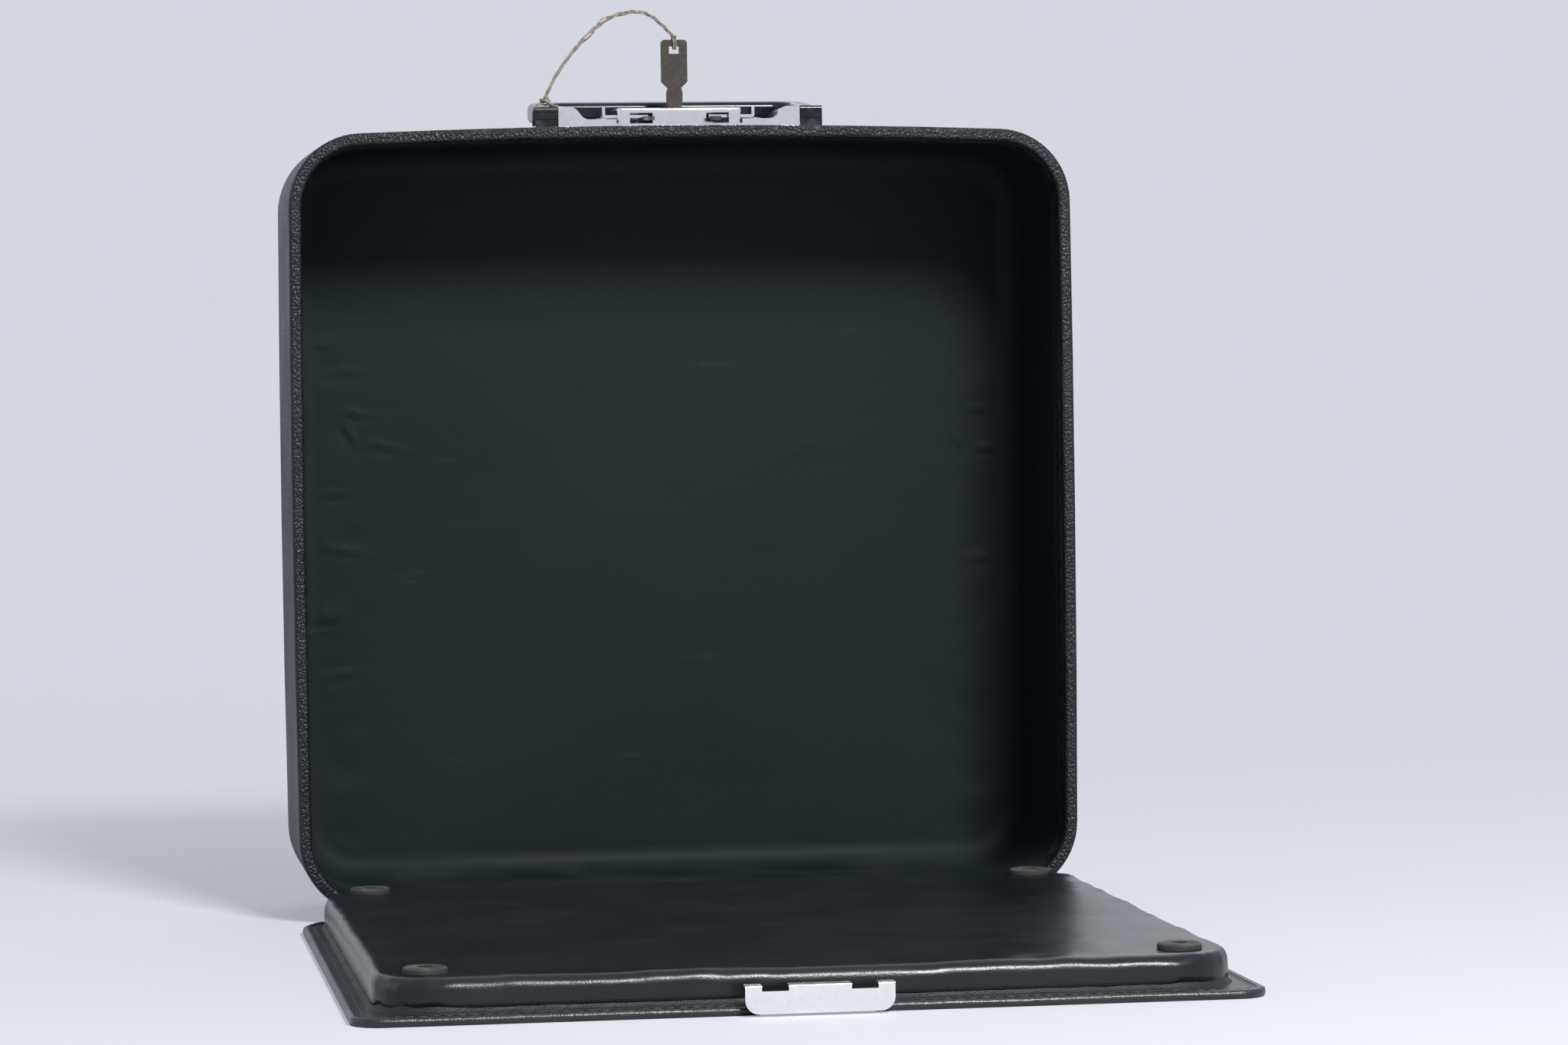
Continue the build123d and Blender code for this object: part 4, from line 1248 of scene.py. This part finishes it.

# %% [markdown]
# ## The hem inside the rim
# The lining's cut edge is covered by a narrow tape, sewn through the wall with long stitches. The
# thread pulls the tape into small scallops, which shows best down the left side. The scallop tabs
# are coloured near-black: painted shade for the shaded gap between the tape and the lining.

# %% Hem tape
hem_low, hem_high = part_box("rim_hem")
hem_stack = 4.75 * mm
# share of the tape's width, and how far it stands off the wall there, in millimetres
hem_profile = [
    (0.0, -0.1), (0.08, 0.8), (0.25, 1.05), (0.42, 0.75), (0.5, 0.45),
    (0.6, 0.75), (0.8, 1.0), (0.95, 0.7), (1.0, -0.1),
]


def mouth_outline(inset, spacing):
    """The outline of the lid's mouth, set in from its outer wall."""
    low = Vector((lid_low[0] + inset, lid_low[2] + inset))
    high = Vector((lid_high[0] - inset, lid_high[2] - inset))
    return rounded_outline(low, high, (lid_corner - inset,) * 4, spacing)


def hem_rings():
    """The tape's inner face, puffed between the stitches, and its edges turned to the wall."""
    points, normals = mouth_outline(hem_stack, 1.5 * mm)
    rings = []
    for share, lift in hem_profile:
        ring = []
        travelled = 0
        for index, (point, outward) in enumerate(zip(points, normals)):
            travelled += (point - points[index - 1]).length if index else 0
            left = smooth_step(-outward.x, 0.6, 0.95)
            wave = 0.5 + 0.5 * math.cos(2 * math.pi * travelled / gather_pitch)
            puff = lift * (1 - (0.25 + 0.45 * left) * wave * (1 if lift > 0 else 0))
            uneven = ripple(point.x, point.y, 45, share * 2) * (0.25 + 0.5 * left)
            flat = bowed(point - outward * max(puff, -0.1) * mm)
            depth = hem_low[1] + (hem_high[1] - hem_low[1]) * share + uneven * mm * share
            ring.append(Vector((flat.x, depth, flat.y)))
        rings.append(ring)
    return rings


hem = add_mesh("rim_hem_tape", *join_rings(hem_rings()), "lid", "hem_fabric")
dress(hem, "hem_cloth")
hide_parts("rim_hem")
hem_thickness = hem.modifiers.new("thickness", "SOLIDIFY")
hem_thickness.thickness = 0.35 * mm
hem_thickness.offset = -1.0
print("hem points", len(hem.data.vertices))


# %% Scalloped edge behind the rim
# the tabs are dressed in near-black cloth, as painted shade of the gap between the hem and the lining
scallop_pitch = 9.7 * mm
scallop_gap = 2.2 * mm
# how far a tab stands in at its start, how much further at its end, and the tooth there, in
# millimetres
tab_reach = 0.78
tab_slant = 0.15
tooth_reach = 0.45
tape_thickness = 0.5 * mm
# when the lid is closed, a height z of its mouth lands beside the deck at y = closed_offset - z
closed_offset = 163.0 * mm
least_deck_gap = 0.8 * mm


def gap_to_deck(flat):
    """How far a point of the lid's mouth stands from the padded deck when the lid is closed."""
    past_x = max(abs(flat.x) - (deck_high[0] - deck_corner), 0)
    past_y = max(abs(closed_offset - flat.y) - (deck_high[1] - deck_corner), 0)
    return math.hypot(past_x, past_y) - deck_corner


def scallops():
    """Short tabs of tape that stand in from the wall; each ends in a small tooth."""
    points, normals = mouth_outline(hem_stack, 1.2 * mm)
    depth = hem_low[1] + 1.6 * mm
    parts = []
    tab = []
    travelled = 0
    for index, (point, outward) in enumerate(zip(points, normals)):
        travelled += (point - points[index - 1]).length if index else 0
        share = (travelled % scallop_pitch) / scallop_pitch
        if share * scallop_pitch > scallop_pitch - scallop_gap:
            if len(tab) > 3:
                parts.append(join_rings(tab, True, True))
            tab = []
            continue
        reach = tab_reach + tab_slant * share + tooth_reach * smooth_step(share, 0.70, 0.86)
        reach += ripple(point.x, point.y, 80, 9.0) * 0.1
        reach -= max(least_deck_gap - gap_to_deck(bowed(point - outward * reach * mm)), 0) / mm
        outer = bowed(point + outward * 0.3 * mm)
        inner = bowed(point - outward * max(reach, 0.1) * mm)
        droop = 0.5 * mm * ripple(point.x, point.y, 50, 1.0)
        tab.append([
            Vector((outer.x, depth, outer.y)),
            Vector((inner.x, depth + droop, inner.y)),
            Vector((inner.x, depth + droop + tape_thickness, inner.y)),
            Vector((outer.x, depth + 0.6 * mm, outer.y)),
        ])
    return parts


scallop_parts = scallops()
scallop_tape = add_mesh("rim_scallops", *merge_parts(scallop_parts), "lid", "hem_fabric", smooth=False)
dress(scallop_tape, "painted_shade_tape")
print("scallops", len(scallop_parts))


# %% Hem stitches
hem_thread_radius = 0.3 * mm
hem_thread_lift = 0.75 * mm
# millimetres of thread on the tape, and then behind it
stitch_run = 6
stitch_rest = 4


def hem_stitches():
    """Long stitches along the middle of the tape."""
    points = mouth_outline(hem_stack + hem_thread_lift, 1.0 * mm)[0]
    depth = (hem_low[1] + hem_high[1]) / 2
    parts = []
    for index in range(0, len(points) - stitch_run, stitch_run + stitch_rest):
        ends = []
        for step in (index, index + stitch_run):
            flat = bowed(points[step])
            ends.append(Vector((flat.x, depth, flat.y)))
        parts.append(tube_mesh([ends[0], (ends[0] + ends[1]) / 2, ends[1]], hem_thread_radius, 6))
    return parts


hem_parts = hem_stitches()
hem_seam = add_mesh("rim_hem_stitches", *merge_parts(hem_parts), "lid", "hem_fabric")
dress(hem_seam, "dark_thread")
print("hem stitches", len(hem_parts))
